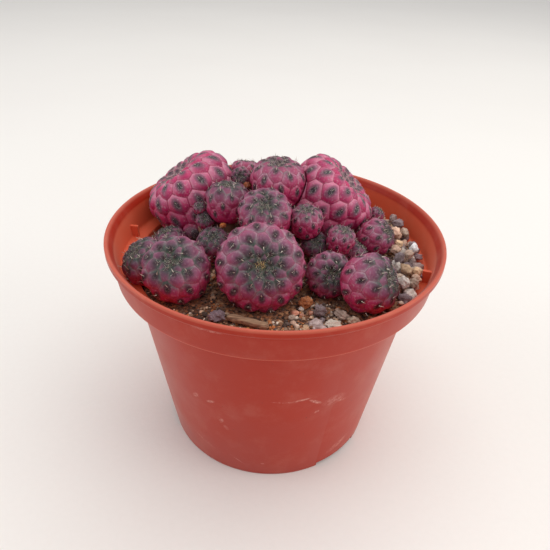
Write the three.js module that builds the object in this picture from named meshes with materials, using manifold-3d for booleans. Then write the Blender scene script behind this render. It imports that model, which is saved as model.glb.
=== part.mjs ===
// A clump of small purple rebutia cactus heads, potted in gritty soil in a terracotta-coloured plastic pot.
// Millimetres, +Z up. The origin is the middle of the pot's foot, on the surface that the pot stands on.

import * as THREE from 'three';
import { mergeVertices } from 'three/addons/utils/BufferGeometryUtils.js';
import { ConvexHull } from 'three/addons/math/ConvexHull.js';
import Module from 'manifold-3d';

const wasm = await Module();
wasm.setup();

const GAP = 0.3; // what touching pieces leave between them
const GOLDEN_TURN = Math.PI * (3 - Math.sqrt(5));
const LUCAS_TURN = (99.502 * Math.PI) / 180;
const WIDE_TURN = (77.955 * Math.PI) / 180;

// The pot: a tapered body, a wider collar with a lip, a ledge inside where the two meet, and a foot ring.
const POT = {
  sides: 40,
  height: 87,
  lipRadius: 60,
  lipHeight: 2.8,
  collarTopRadius: 58.5,
  collarFootRadius: 57.3,
  collarFootHeight: 73.8,
  bodyTopRadius: 52,
  footRadius: 41.6,
  wall: 1.4,
  floorUnderside: 3,
  footRingWidth: 2.2,
};
const LEDGE_HEIGHT = POT.collarFootHeight + POT.wall;
const NOTCH = { count: 3, start: -62, sweep: 29, height: 2.2 };
const DRAIN = { count: 6, sides: 12, radius: 4, ringRadius: 30, middleRadius: 5 };
const LUG = { turns: [-16, 77, 171, 257], width: 1.2, depth: 2.4, height: 4.6 };

// The soil fills the body of the pot, ends just below the ledge and is heaped up to the right.
const SOIL = { level: 74.2, rings: 7, sides: 30, grain: 1.1, heap: 2.6, heapFrom: 20, heapTo: 46 };
const STALK = { sides: 6, thickness: 0.28, thinnest: 1, thickest: 3.4, depth: 5 };

// Gravel has spilled over the ledge on the right (degrees about the pot's middle, 0 is +X, -90 the front).
const DRIFT = { start: -42, sweep: 78, inner: 49, outer: 52.5, depth: 1.3 };
const STONES = { smallest: 3.2, largest: 5.6, squash: 0.75, spacing: 4.9, reach: 54.6, sink: 0.1 };
const STONE_ROWS = [
  { radius: 52.2, from: -41, to: 36 },
  { radius: 48, from: -58, to: 62 },
  { radius: 43.5, from: -72, to: 100 },
  { radius: 38.5, from: -66, to: 60 },
];

// The shape of every head, in shares of its own radius.
const HEAD = {
  crown: 0.8, // height of the shoulder above the widest place, where a head's row gives none
  sinkDepth: 0.17, // the growing tip lies in a hollow
  sinkWidth: 0.34,
  footWidth: 0.42,
  relief: 0.045, // how far a tubercle stands out
  groove: 0.055, // how far the dips between tubercles sink in
  youngest: 0.34, // width of the tubercles at the tip, as a share of the grown ones
  bare: 0.5, // tubercles end this far below the widest place
  roomSides: 10,
  roomSlack: 0.02,
};

// From each radius up: the number of grown tubercles round a head, how many sit level with each other, and
// the turn from these to the next. Each of these spirals packs that number of tubercles as hexagons. A
// fullness of 2 makes the outline a plain ellipse, and more gives it a squarer shoulder.
const KINDS = [
  { from: 0, round: 8.7, level: 2, turn: GOLDEN_TURN / 2, fullness: 2.3 },
  { from: 7, round: 9.6, level: 1, turn: LUCAS_TURN, fullness: 2.3 },
  { from: 14, round: 12.3, level: 1, turn: WIDE_TURN, fullness: 2.3 },
  { from: 15, round: 14, level: 2, turn: GOLDEN_TURN / 2, fullness: 2.8 },
];
const SPINE = { every: 7, first: 3, length: 1.8, radius: 0.34, root: 0.7, lift: 0.5 };

// Each head: the middle of its widest ring, its radius, how far it leans from upright and to which side
// (degrees), and how far its body goes down and its crown up from the widest ring, in radii. It makes room
// for those listed first.
const HEADS = [
  { name: 'front', at: [-4.5, -26, 85.4], radius: 14.2, lean: 55, side: -85, length: 1, crown: 0.78 },
  { name: 'front_left', at: [-31.5, -27.5, 84.5], radius: 10.7, lean: 37, side: -98, length: 1, crown: 0.75 },
  { name: 'front_middle_right', at: [18.4, -22, 81], radius: 7.8, lean: 56, side: -82, length: 0.9 },
  { name: 'front_right', at: [31.3, -29.5, 83.5], radius: 9.5, lean: 58, side: -25, length: 0.9 },
  { name: 'far_left', at: [-43.5, -18.5, 81], radius: 8.3, lean: 40, side: -155, length: 0.9 },
  { name: 'right_of_middle', at: [10.5, -4, 92], radius: 5.9, lean: 10, side: -80, length: 1.1 },
  { name: 'small_right', at: [23, -7.5, 87], radius: 5, lean: 16, side: -25, length: 1.1 },
  { name: 'middle', at: [-4, -6, 94.9], radius: 9.1, lean: 31, side: -92, length: 1.2, crown: 0.66 },
  { name: 'left_of_middle', at: [-17.9, 5, 94.5], radius: 7.9, lean: 5, side: 90, length: 1.05, crown: 0.75 },
  { name: 'low_left', at: [-22, -7, 82.5], radius: 6, lean: 28, side: -92, length: 1.1 },
  { name: 'low_middle', at: [14, -5.5, 83], radius: 4.8, lean: 50, side: -82, length: 1.2 },
  { name: 'low_right', at: [29, -5, 80.5], radius: 4.2, lean: 35, side: 10, length: 1 },
  { name: 'right', at: [37.5, 2, 83], radius: 6.8, lean: 48, side: -25, length: 1 },
  { name: 'left', at: [-39, 0, 79], radius: 5.9, lean: 15, side: 180, length: 0.8 },
  { name: 'tiny_left', at: [-26, 2, 87], radius: 3.4, lean: 45, side: -85, length: 1.1 },
  { name: 'bud_left', at: [-28, 3, 91.3], radius: 2.3, lean: 30, side: -95, length: 1.1 },
  { name: 'tiny_low_left', at: [-31.5, 5, 80.5], radius: 3.3, lean: 40, side: -90, length: 1.2 },
  { name: 'back_middle', at: [0, 11.5, 100], radius: 9.9, lean: 4, side: -90, length: 1, crown: 0.74 },
  { name: 'back_left', at: [-33.7, 21.5, 89.4], radius: 17.3, lean: 36, side: 178, length: 1.1, crown: 0.6 },
  { name: 'back_right', at: [21.9, 18.2, 91.7], radius: 16.5, lean: 42, side: 0, length: 1.2, crown: 0.54 },
  { name: 'tiny_right', at: [39.5, 18.5, 84], radius: 3, lean: 35, side: 0, length: 1.2 },
  { name: 'small_back', at: [-14, 16.5, 98], radius: 3.8, lean: 60, side: -90, length: 1.1 },
  { name: 'behind_small_back', at: [-13, 26, 96.2], radius: 6, lean: 18, side: 85, length: 1.3 },
  { name: 'rear_middle', at: [4, 30, 84], radius: 6.8, lean: 35, side: 90, length: 1.2 },
  { name: 'rear_left', at: [-18, 38, 82], radius: 6.2, lean: 40, side: 110, length: 1 },
  { name: 'rear_right', at: [24, 38, 82.5], radius: 6.4, lean: 40, side: 75, length: 1 },
];

// Larger loose pieces that lie on the soil in front.
const LOOSE_STONES = [
  { name: 'stone_violet', at: [-17, -40.5], size: [5.4, 4, 3.2], turn: 20, colour: 0x7b6a70 },
  { name: 'stone_orange', at: [10.5, -31.5], size: [5, 4.4, 4], turn: -30, colour: 0xb5693f },
  { name: 'stone_lava', at: [15, -36], size: [4.2, 3.8, 3.8], turn: 65, colour: 0x857074 },
  { name: 'stone_pale', at: [22, -37], size: [5.4, 3, 2.8], turn: -35, colour: 0xb39c90 },
  { name: 'stone_white', at: [18.5, -42.5], size: [5.2, 3.8, 3], turn: 15, colour: 0xcdbfae },
  { name: 'stone_beige', at: [25.2, -40], size: [4.6, 3.4, 3], turn: -20, colour: 0xc2ab95 },
];
const STONE_CLEARANCE = 1.25; // room left round a loose piece, in shares of its size
const BARK = { at: [-7.5, -42.5], length: 14, width: 2.6, thickness: 1.5, bevel: 0.3, turn: -18 };

const CACTUS_SKIN = new THREE.MeshStandardMaterial({ color: 0x9b3b66, roughness: 0.6, metalness: 0 });
const POT_PLASTIC = new THREE.MeshStandardMaterial({ color: 0xb04a32, roughness: 0.42, metalness: 0 });
const GRITTY_SOIL = new THREE.MeshStandardMaterial({ color: 0x6e5747, roughness: 0.95, metalness: 0 });
const BARK_BROWN = new THREE.MeshStandardMaterial({ color: 0x7a5c45, roughness: 0.9, metalness: 0 });

const { degToRad, lerp, clamp, smoothstep } = THREE.MathUtils;

// A repeatable stream of random numbers from 0 to 1.
function randomFrom(seed) {
  let state = seed >>> 0;
  return () => {
    state = (state + 0x6d2b79f5) >>> 0;
    let mixed = Math.imul(state ^ (state >>> 15), 1 | state);
    mixed = (mixed + Math.imul(mixed ^ (mixed >>> 7), 61 | mixed)) ^ mixed;
    return ((mixed ^ (mixed >>> 14)) >>> 0) / 4294967296;
  };
}

// Geometries and solids

// A geometry's surface alone, with its doubled vertices joined.
function bareSurface(geometry) {
  const bare = new THREE.BufferGeometry().setAttribute('position', geometry.getAttribute('position'));
  if (geometry.index) bare.setIndex(geometry.index);
  return mergeVertices(bare, 1e-4);
}

// A closed geometry as a solid, without the slivers at its poles.
function solidFrom(geometry) {
  const surface = bareSurface(geometry);
  const corners = surface.index.array;
  const kept = [];
  for (let i = 0; i < corners.length; i += 3) {
    const [a, b, c] = [corners[i], corners[i + 1], corners[i + 2]];
    if (a !== b && b !== c && c !== a) kept.push(a, b, c);
  }
  return new wasm.Manifold(new wasm.Mesh({
    numProp: 3,
    vertProperties: Float32Array.from(surface.attributes.position.array),
    triVerts: Uint32Array.from(kept),
  }));
}

function meshFrom(name, solid, material) {
  const surface = solid.getMesh();
  const geometry = new THREE.BufferGeometry();
  geometry.setAttribute('position', new THREE.BufferAttribute(surface.vertProperties, 3));
  geometry.setIndex(new THREE.BufferAttribute(surface.triVerts, 1));
  geometry.computeVertexNormals();
  const mesh = new THREE.Mesh(geometry, material);
  mesh.name = name;
  return mesh;
}

function largestPiece(solid) {
  return solid.decompose().sort((a, b) => b.volume() - a.volume())[0];
}

// A body of revolution about +Z from [radius, height] points, in order from the bottom to the top.
function turned(profile, sides) {
  const points = profile.map(([radius, height]) => new THREE.Vector2(radius, height));
  return new THREE.LatheGeometry(points, sides).rotateX(Math.PI / 2);
}

function uprightPost(radius, bottom, top, sides) {
  const post = new THREE.CylinderGeometry(radius, radius, top - bottom, sides);
  return post.rotateX(Math.PI / 2).translate(0, 0, (bottom + top) / 2);
}

// A flat piece of a ring, from one turn (degrees) over a sweep to the next.
function ringWedge(inner, outer, start, sweep, bottom, top) {
  const shape = new THREE.Shape();
  const [from, to] = [degToRad(start), degToRad(start + sweep)];
  shape.absarc(0, 0, outer, from, to, false);
  shape.absarc(0, 0, inner, to, from, true);
  const options = { depth: top - bottom, bevelEnabled: false, curveSegments: 6 };
  return solidFrom(new THREE.ExtrudeGeometry(shape, options).translate(0, 0, bottom));
}

// Pot

function bodyInnerRadius(height) {
  return lerp(POT.footRadius, POT.bodyTopRadius, height / POT.collarFootHeight) - POT.wall;
}

function potShell() {
  const { height, lipRadius, lipHeight, wall, collarTopRadius, collarFootRadius } = POT;
  const { collarFootHeight, bodyTopRadius, footRadius, floorUnderside, footRingWidth } = POT;
  const lipUnderside = height - lipHeight;
  const floorTop = floorUnderside + wall;
  return solidFrom(turned([
    [0, floorUnderside],
    [footRadius - footRingWidth, floorUnderside],
    [footRadius - footRingWidth, 0],
    [footRadius - 0.4, 0],
    [footRadius, 0.5],
    [bodyTopRadius, collarFootHeight],
    [collarFootRadius - 0.6, collarFootHeight],
    [collarFootRadius, collarFootHeight + 0.6],
    [collarTopRadius, lipUnderside - 0.5],
    [lipRadius, lipUnderside + 0.4],
    [lipRadius, height - 0.8],
    [lipRadius - 0.8, height],
    [collarTopRadius - wall, lipUnderside],
    [collarFootRadius - wall, LEDGE_HEIGHT],
    [bodyTopRadius - wall, LEDGE_HEIGHT],
    [bodyInnerRadius(floorTop), floorTop],
    [0, floorTop],
  ], POT.sides));
}

// A gap in the foot ring, where water can run out under the pot.
function footNotch(turn) {
  const inner = POT.footRadius - POT.footRingWidth - 1;
  return ringWedge(inner, POT.footRadius + 5, turn, NOTCH.sweep, -2, NOTCH.height);
}

function drainHole(radius, out, turn) {
  const hole = uprightPost(radius, -1, POT.floorUnderside + POT.wall + 1, DRAIN.sides);
  return solidFrom(hole.translate(out, 0, 0).rotateZ(degToRad(turn)));
}

// A small stop on the ledge that keeps stacked pots from jamming, with some room round it if asked.
function stackingLug(turn, extra) {
  const outer = POT.collarFootRadius - POT.wall / 2;
  const inner = POT.collarFootRadius - POT.wall - LUG.depth - extra;
  const bottom = LEDGE_HEIGHT - 0.5;
  const top = LEDGE_HEIGHT + LUG.height + extra;
  const block = new THREE.BoxGeometry(outer - inner, LUG.width + 2 * extra, top - bottom);
  return solidFrom(block.translate((outer + inner) / 2, 0, (bottom + top) / 2).rotateZ(degToRad(turn)));
}

function allLugs(extra) {
  return wasm.Manifold.union(LUG.turns.map((turn) => stackingLug(turn, extra)));
}

function makePot() {
  let pot = potShell().add(allLugs(0)).subtract(drainHole(DRAIN.middleRadius, 0, 0));
  for (let i = 0; i < NOTCH.count; i++) pot = pot.subtract(footNotch(NOTCH.start + (360 / NOTCH.count) * i));
  for (let i = 0; i < DRAIN.count; i++) {
    const turn = NOTCH.start + NOTCH.sweep / 2 + (360 / DRAIN.count) * i;
    pot = pot.subtract(drainHole(DRAIN.radius, DRAIN.ringRadius, turn));
  }
  return pot;
}

// The room in and above the pot, a gap clear of its walls, ledge and lugs.
function roomInPot() {
  const floorTop = POT.floorUnderside + POT.wall + GAP;
  const aboveLedge = LEDGE_HEIGHT + GAP;
  const collarTop = POT.collarTopRadius - POT.wall - GAP;
  const beyond = POT.lipRadius + 20;
  const room = solidFrom(turned([
    [0, floorTop],
    [bodyInnerRadius(floorTop) - GAP, floorTop],
    [bodyInnerRadius(LEDGE_HEIGHT) - GAP, LEDGE_HEIGHT],
    [bodyInnerRadius(LEDGE_HEIGHT) - GAP, aboveLedge],
    [POT.collarFootRadius - POT.wall - GAP, aboveLedge],
    [collarTop, POT.height - POT.lipHeight],
    [collarTop, POT.height + GAP],
    [beyond, POT.height + GAP],
    [beyond, 2 * POT.height],
    [0, 2 * POT.height],
  ], POT.sides));
  return room.subtract(allLugs(GAP));
}

// The bank of gravel that has spilled over the ledge, with some room round it if asked.
function spilledBank(extra) {
  const bottom = LEDGE_HEIGHT + GAP;
  const top = bottom + DRIFT.depth + extra;
  return ringWedge(DRIFT.inner - extra, DRIFT.outer + extra, DRIFT.start, DRIFT.sweep, bottom - extra, top);
}

// Heads

function kindOf(radius) {
  return KINDS.findLast(({ from }) => radius >= from);
}

// A head's outline from the sunken tip over the shoulder to the foot: for each of many places its distance
// along the outline, its radius and height, and the outward direction there.
function headOutline({ radius, length, crown = HEAD.crown }) {
  const { fullness } = kindOf(radius);
  const steps = 40;
  const points = [];
  for (let i = 0; i <= steps; i++) {
    const across = Math.sin((i / steps) * (Math.PI / 2));
    const shoulder = (1 - across ** fullness) ** (1 / fullness);
    const sink = HEAD.sinkDepth * Math.exp(-((across / HEAD.sinkWidth) ** 2));
    points.push([radius * across, radius * (crown * shoulder - sink)]);
  }
  for (let i = 1; i <= steps; i++) {
    const down = Math.sin((i / steps) * (Math.PI / 2));
    const width = (1 - down ** fullness) ** (1 / fullness);
    points.push([radius * lerp(HEAD.footWidth, 1, width), -radius * length * down]);
  }
  points.push([0, -radius * length]);
  let along = 0;
  return points.map(([across, height], i) => {
    const before = points[Math.max(i - 1, 0)];
    const after = points[Math.min(i + 1, points.length - 1)];
    const step = new THREE.Vector2(after[0] - before[0], after[1] - before[1]).normalize();
    along += Math.hypot(across - before[0], height - before[1]);
    return { along, across, height, outAcross: -step.y, outHeight: step.x };
  });
}

function placeOn(outline, along) {
  const next = clamp(outline.findIndex((row) => row.along >= along), 1, outline.length - 1);
  const [low, high] = [outline[next - 1], outline[next]];
  const share = clamp((along - low.along) / (high.along - low.along), 0, 1);
  const place = {};
  for (const key of Object.keys(low)) place[key] = lerp(low[key], high[key], share);
  return place;
}

function pointOn(outline, along, turn, rise) {
  const { across, height, outAcross, outHeight } = placeOn(outline, along);
  const out = Math.max(across + rise * outAcross, 0);
  return new THREE.Vector3(out * Math.cos(turn), out * Math.sin(turn), height + rise * outHeight);
}

// Tubercles sit on a spiral, a fixed turn apart and their cells' area further from the tip than the last.
// They are small and young at the tip and full-grown on the sides.
function tubercleSites(outline, head, startTurn) {
  const kind = kindOf(head.radius);
  const grown = (2 * Math.PI * head.radius) / kind.round;
  const step = head.radius / 200;
  const sites = [];
  let filled = 0;
  for (let along = step / 2; ; along += step) {
    const { across, height } = placeOn(outline, along);
    if (height < -head.radius * HEAD.bare) return sites;
    const age = lerp(HEAD.youngest, 1, smoothstep(along, 0, head.radius));
    filled += (2 * Math.PI * across * step) / ((Math.sqrt(3) / 2) * (grown * age) ** 2);
    if (filled < sites.length + kind.level / 2) continue;
    const turn = startTurn + (kind.turn * sites.length) / kind.level;
    for (let i = 0; i < kind.level; i++) {
      const own = turn + (2 * Math.PI * i) / kind.level;
      sites.push({ along, turn: own, rise: head.radius * HEAD.relief * age });
    }
  }
}

// Plain places below the tubercles, which close the body down to its foot.
function footSites(outline, head) {
  const end = outline[outline.length - 1].along;
  const edge = { along: end - head.radius * HEAD.footWidth, rise: 0 };
  const ring = Array.from({ length: 7 }, (_, i) => ({ ...edge, turn: (2 * Math.PI * i) / 7 }));
  return [...ring, { along: end, turn: 0, rise: 0 }];
}

// Where a distance along the outline falls on a ball, as an angle from its pole, so that the net of the
// sites drawn on the ball has the same shapes as on the head.
function poleAngles(outline) {
  let stretched = 0;
  const stretches = outline.map((row, i) => {
    const before = outline[Math.max(i - 1, 0)];
    stretched += (row.along - before.along) / Math.max((row.across + before.across) / 2, 1e-3);
    return { along: row.along, stretched };
  });
  const widest = outline.reduce((best, row, i) => (row.across > outline[best].across ? i : best), 0);
  const middle = stretches[widest].stretched;
  return (along) => 2 * Math.atan(Math.exp(placeOn(stretches, along).stretched - middle));
}

// The body as a net: each site is the top of a tubercle, and the middle of each three sites a dip.
function headBody(outline, sites, head) {
  const poleAngle = poleAngles(outline);
  const positions = [];
  const addCorner = (point) => positions.push(...point) / 3 - 1;
  const siteAt = new Map();
  for (const site of sites) {
    const down = poleAngle(site.along);
    siteAt.set(new THREE.Vector3().setFromSphericalCoords(1, down, site.turn), site);
    site.corner = addCorner(pointOn(outline, site.along, site.turn, site.rise));
  }
  const net = new ConvexHull().setFromPoints([...siteAt.keys()]);
  const siteOf = (vertex) => siteAt.get(vertex.point);
  const edgesOf = (face) => [face.edge, face.edge.next, face.edge.prev];
  const dips = new Map();
  for (const face of net.faces) {
    const around = edgesOf(face).map((edge) => siteOf(edge.head()));
    const middle = new THREE.Vector3();
    for (const { along, turn } of around) middle.add(pointOn(outline, along, turn, 0));
    const along = (around[0].along + around[1].along + around[2].along) / 3;
    const sunk = Math.min(...around.map(({ rise }) => rise)) * (HEAD.groove / HEAD.relief);
    dips.set(face, addCorner(pointOn(outline, along, Math.atan2(middle.y, middle.x), -sunk)));
  }
  const corners = [];
  for (const face of net.faces) {
    for (const edge of edgesOf(face)) {
      const [from, to] = [siteOf(edge.tail()).corner, siteOf(edge.head()).corner];
      if (from > to) continue;
      const [left, right] = [dips.get(face), dips.get(edge.twin.face)];
      corners.push(from, right, left, to, left, right);
    }
  }
  const geometry = new THREE.BufferGeometry();
  geometry.setAttribute('position', new THREE.Float32BufferAttribute(positions, 3));
  return geometry.setIndex(corners);
}

// Takes a head's own frame, whose +Z runs out of the growing tip, to its place in the pot.
function placement(head) {
  const [lean, side] = [degToRad(head.lean), degToRad(head.side)];
  const tip = new THREE.Vector3(Math.cos(side), Math.sin(side), 0).multiplyScalar(Math.sin(lean));
  tip.z = Math.cos(lean);
  const turn = new THREE.Quaternion().setFromUnitVectors(new THREE.Vector3(0, 0, 1), tip);
  return new THREE.Matrix4().compose(new THREE.Vector3(...head.at), turn, new THREE.Vector3(1, 1, 1));
}

// The stalk from inside the head straight down into the soil, or with some room round it if asked.
function stalk(head, extra) {
  const start = new THREE.Vector3(0, 0, -0.6 * head.radius * head.length).applyMatrix4(placement(head));
  const radius = clamp(head.radius * STALK.thickness, STALK.thinnest, STALK.thickest) + extra;
  const bottom = SOIL.level - STALK.depth - extra;
  return solidFrom(uprightPost(radius, bottom, start.z, STALK.sides).translate(start.x, start.y, 0));
}

// The room that a head takes from its neighbours: a plain, slightly larger copy of it.
function headRoom(head, outline) {
  const extra = head.radius * (HEAD.relief + HEAD.roomSlack) + GAP;
  const foot = head.radius * HEAD.footWidth;
  const bottom = -head.radius * head.length - extra;
  const profile = [[0, bottom], [foot, bottom]];
  for (let i = outline.length - 2; i > 0; i -= 8) {
    const { across, height, outAcross, outHeight } = outline[i];
    const out = (across + extra * outAcross) / Math.cos(Math.PI / HEAD.roomSides);
    if (out > foot || height > 0) profile.push([Math.max(out, 0), height + extra * outHeight]);
  }
  profile.push([0, outline[0].height + extra]);
  const body = solidFrom(turned(profile, HEAD.roomSides).applyMatrix4(placement(head)));
  return body.add(stalk(head, GAP));
}

// A short three-sided spine on top of a tubercle, bent a little towards the tip.
function spine(head, outline, site) {
  const root = pointOn(outline, site.along, site.turn, site.rise - SPINE.root);
  const out = pointOn(outline, site.along, site.turn, site.rise).sub(root).normalize();
  out.z += SPINE.lift;
  const length = SPINE.length + SPINE.root;
  const needle = new THREE.ConeGeometry(SPINE.radius, length, 3).translate(0, length / 2, 0);
  const turn = new THREE.Quaternion().setFromUnitVectors(new THREE.Vector3(0, 1, 0), out.normalize());
  return solidFrom(needle.applyQuaternion(turn).translate(...root).applyMatrix4(placement(head)));
}

function makeHeads(room) {
  const buried = solidFrom(new THREE.BoxGeometry(200, 200, 100).translate(0, 0, SOIL.level + GAP - 50));
  const made = HEADS.map((head, index) => {
    const outline = headOutline(head);
    const sites = [...tubercleSites(outline, head, 2 * index), ...footSites(outline, head)];
    const body = solidFrom(headBody(outline, sites, head).applyMatrix4(placement(head)));
    return { head, outline, sites, body, room: headRoom(head, outline) };
  });
  made.forEach((own, index) => {
    const taken = wasm.Manifold.union([buried, ...made.slice(0, index).map((other) => other.room)]);
    const lower = stalk(own.head, 0).subtract(taken.subtract(buried));
    own.body = largestPiece(own.body.subtract(taken).add(lower).intersect(room));
  });
  const open = room.subtract(buried).subtract(spilledBank(GAP));
  for (const own of made) {
    const others = wasm.Manifold.union(made.filter((other) => other !== own).map((other) => other.body));
    for (const [place, site] of own.sites.entries()) {
      if (site.rise === 0 || place % SPINE.every !== SPINE.first) continue;
      const needle = spine(own.head, own.outline, site);
      const clear = needle.intersect(others).isEmpty() && needle.subtract(open).isEmpty();
      if (clear) own.body = own.body.add(needle);
    }
    own.body = largestPiece(own.body);
  }
  return made;
}

// Soil and what lies on it

function distanceToHeads(x, y) {
  return Math.min(...HEADS.map(({ at, radius }) => Math.hypot(x - at[0], y - at[1]) - radius));
}

function heapAt(x) {
  return SOIL.heap * smoothstep(x, SOIL.heapFrom, SOIL.heapTo);
}

// Level soil with grains and the heap on it, but none of them under the heads, which rest there.
function plainSoil() {
  const draw = randomFrom(7);
  const edge = bodyInnerRadius(SOIL.level) - GAP;
  const floor = POT.floorUnderside + POT.wall + GAP;
  const profile = [[0, floor], [bodyInnerRadius(floor) - GAP, floor], [edge, SOIL.level - 1]];
  for (let i = SOIL.rings; i >= 0; i--) profile.push([(edge * i) / SOIL.rings, SOIL.level]);
  const surface = bareSurface(turned(profile, SOIL.sides));
  const place = surface.getAttribute('position');
  for (let i = 0; i < place.count; i++) {
    if (place.getZ(i) < SOIL.level - 0.5) continue;
    const [x, y] = [place.getX(i), place.getY(i)];
    const free = smoothstep(distanceToHeads(x, y), 2, 6);
    place.setZ(i, SOIL.level + free * (heapAt(x) + SOIL.grain * (draw() - 0.3)));
  }
  return solidFrom(surface);
}

function topOfSoil(soil, [x, y], reach) {
  const probe = uprightPost(reach, SOIL.level - 3, SOIL.level + 20, 10).translate(x, y, 0);
  return soil.intersect(solidFrom(probe)).boundingBox().max[2];
}

// A broken stone: a ball of twenty faces with its corners drawn in or out.
function stoneShape(size, turn, draw) {
  const shape = bareSurface(new THREE.IcosahedronGeometry(0.5, 0));
  const corners = shape.getAttribute('position');
  const corner = new THREE.Vector3();
  for (let i = 0; i < corners.count; i++) {
    corner.fromBufferAttribute(corners, i).multiplyScalar(0.82 + 0.36 * draw());
    corners.setXYZ(i, ...corner);
  }
  return shape.scale(...size).rotateX(0.5 * (draw() - 0.5)).rotateZ(degToRad(turn));
}

// A piece that lies at a place on the soil, and the room that the gravel leaves it.
function lyingOn(soil, name, shape, at, reach, material) {
  shape.computeBoundingBox();
  const height = topOfSoil(soil, at, reach) + GAP - shape.boundingBox.min.z;
  const place = (own) => solidFrom(own.translate(at[0], at[1], height));
  const taken = place(shape.clone().scale(STONE_CLEARANCE, STONE_CLEARANCE, STONE_CLEARANCE));
  return { name, material, taken, solid: place(shape) };
}

function barkShape() {
  const { length, width, thickness, bevel, turn } = BARK;
  const outline = new THREE.Shape([
    new THREE.Vector2(-0.5 * length, -0.3 * width),
    new THREE.Vector2(-0.2 * length, -0.5 * width),
    new THREE.Vector2(0.35 * length, -0.4 * width),
    new THREE.Vector2(0.5 * length, -0.1 * width),
    new THREE.Vector2(0.4 * length, 0.4 * width),
    new THREE.Vector2(-0.1 * length, 0.5 * width),
    new THREE.Vector2(-0.45 * length, 0.25 * width),
  ]);
  const edges = { bevelSize: bevel, bevelThickness: bevel, bevelSegments: 1 };
  return new THREE.ExtrudeGeometry(outline, { depth: thickness, ...edges }).rotateZ(degToRad(turn));
}

function makeLoosePieces(soil) {
  const draw = randomFrom(5);
  const stones = LOOSE_STONES.map(({ name, at, size, turn, colour }) => {
    const material = new THREE.MeshStandardMaterial({ color: colour, roughness: 0.9, metalness: 0 });
    return lyingOn(soil, name, stoneShape(size, turn, draw), at, size[0] / 2, material);
  });
  return [...stones, lyingOn(soil, 'bark_chip', barkShape(), BARK.at, BARK.length / 2, BARK_BROWN)];
}

// Stones half sunk in the soil and in the spilled gravel, wherever nothing is in their way.
function makeGravel(heads, loose) {
  const draw = randomFrom(31);
  const taken = wasm.Manifold.union([
    ...heads.flatMap((own) => [own.room, own.body]),
    ...loose.map((own) => own.taken),
  ]);
  const stones = [];
  for (const { radius, from, to } of STONE_ROWS) {
    const bedOnLedge = LEDGE_HEIGHT + GAP + DRIFT.depth;
    const step = THREE.MathUtils.radToDeg(STONES.spacing / radius);
    for (let turn = from; turn <= to; turn += step) {
      const size = lerp(STONES.smallest, STONES.largest, draw());
      const width = size * (0.7 + 0.25 * draw());
      const shape = stoneShape([size, width, size * STONES.squash], 360 * draw(), draw);
      const out = Math.min(radius + 1.6 * (draw() - 0.5), STONES.reach - size / 2);
      const place = degToRad(turn + step * 0.5 * (draw() - 0.5));
      const [x, y] = [out * Math.cos(place), out * Math.sin(place)];
      const bed = radius > DRIFT.inner ? bedOnLedge : SOIL.level + heapAt(x);
      const stone = solidFrom(shape.translate(x, y, bed + STONES.sink * size));
      if (stone.intersect(taken).isEmpty()) stones.push(stone);
    }
  }
  return stones;
}

function makeSoil(plain, heads, gravel, room) {
  const drift = spilledBank(0).subtract(wasm.Manifold.union(heads.map((own) => own.room)));
  const holes = wasm.Manifold.union(heads.map(({ head }) => stalk(head, GAP)));
  return largestPiece(wasm.Manifold.union([plain, drift, ...gravel]).subtract(holes).intersect(room));
}

const room = roomInPot();
const heads = makeHeads(room);
const levelSoil = plainSoil();
const loosePieces = makeLoosePieces(levelSoil);
const gravel = makeGravel(heads, loosePieces);

const pottedRebutia = new THREE.Group();
pottedRebutia.add(meshFrom('pot', makePot(), POT_PLASTIC));
pottedRebutia.add(meshFrom('soil', makeSoil(levelSoil, heads, gravel, room), GRITTY_SOIL));
for (const { head, body } of heads) pottedRebutia.add(meshFrom(`head_${head.name}`, body, CACTUS_SKIN));
for (const { name, solid, material } of loosePieces) pottedRebutia.add(meshFrom(name, solid, material));

export default pottedRebutia;
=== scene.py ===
# A clump of small purple rebutia cactus heads in gritty soil, in a terracotta-coloured plastic nursery pot.
# Lengths are millimetres until a mesh is made, the pot's foot stands on z = 0, and angles are in degrees
# about the pot's middle, where 0 is +X and -90 the front.

import math
from functools import cache
from types import SimpleNamespace as Values

import bpy
import numpy as np
from mathutils import Matrix, Vector, noise


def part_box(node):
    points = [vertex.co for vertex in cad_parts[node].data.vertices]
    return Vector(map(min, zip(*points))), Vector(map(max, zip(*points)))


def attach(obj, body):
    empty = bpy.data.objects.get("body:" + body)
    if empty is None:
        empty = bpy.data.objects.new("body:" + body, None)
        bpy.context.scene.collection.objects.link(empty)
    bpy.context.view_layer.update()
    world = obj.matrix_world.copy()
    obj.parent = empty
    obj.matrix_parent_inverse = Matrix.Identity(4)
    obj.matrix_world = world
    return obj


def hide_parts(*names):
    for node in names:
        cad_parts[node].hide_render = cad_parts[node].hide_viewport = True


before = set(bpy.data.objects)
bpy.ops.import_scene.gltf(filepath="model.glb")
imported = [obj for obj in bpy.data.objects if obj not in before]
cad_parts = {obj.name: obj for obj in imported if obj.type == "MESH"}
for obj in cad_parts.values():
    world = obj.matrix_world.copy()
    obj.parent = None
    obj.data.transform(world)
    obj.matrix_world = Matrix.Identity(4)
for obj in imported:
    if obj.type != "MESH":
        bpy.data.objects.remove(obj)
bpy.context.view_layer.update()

MM = 0.001
BODY = "root"
FULL_TURN = 2 * math.pi
GOLDEN_TURN = math.pi * (3 - math.sqrt(5))
LUCAS_TURN = math.radians(99.502)
WIDE_TURN = math.radians(77.955)

# The camera, from the photograph's perspective: its place, and its right, up and forward directions.
CAMERA_AT = (0.327, -166.58, 176.35)
CAMERA_RIGHT = (0.99914, 0.02299, 0.03451)
CAMERA_UP = (-0.04146, 0.55390, 0.83155)
CAMERA_FORWARD = (0, 0.83227, -0.55438)
CAMERA_LENS = 34.04
CAMERA_SENSOR = 36

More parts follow.
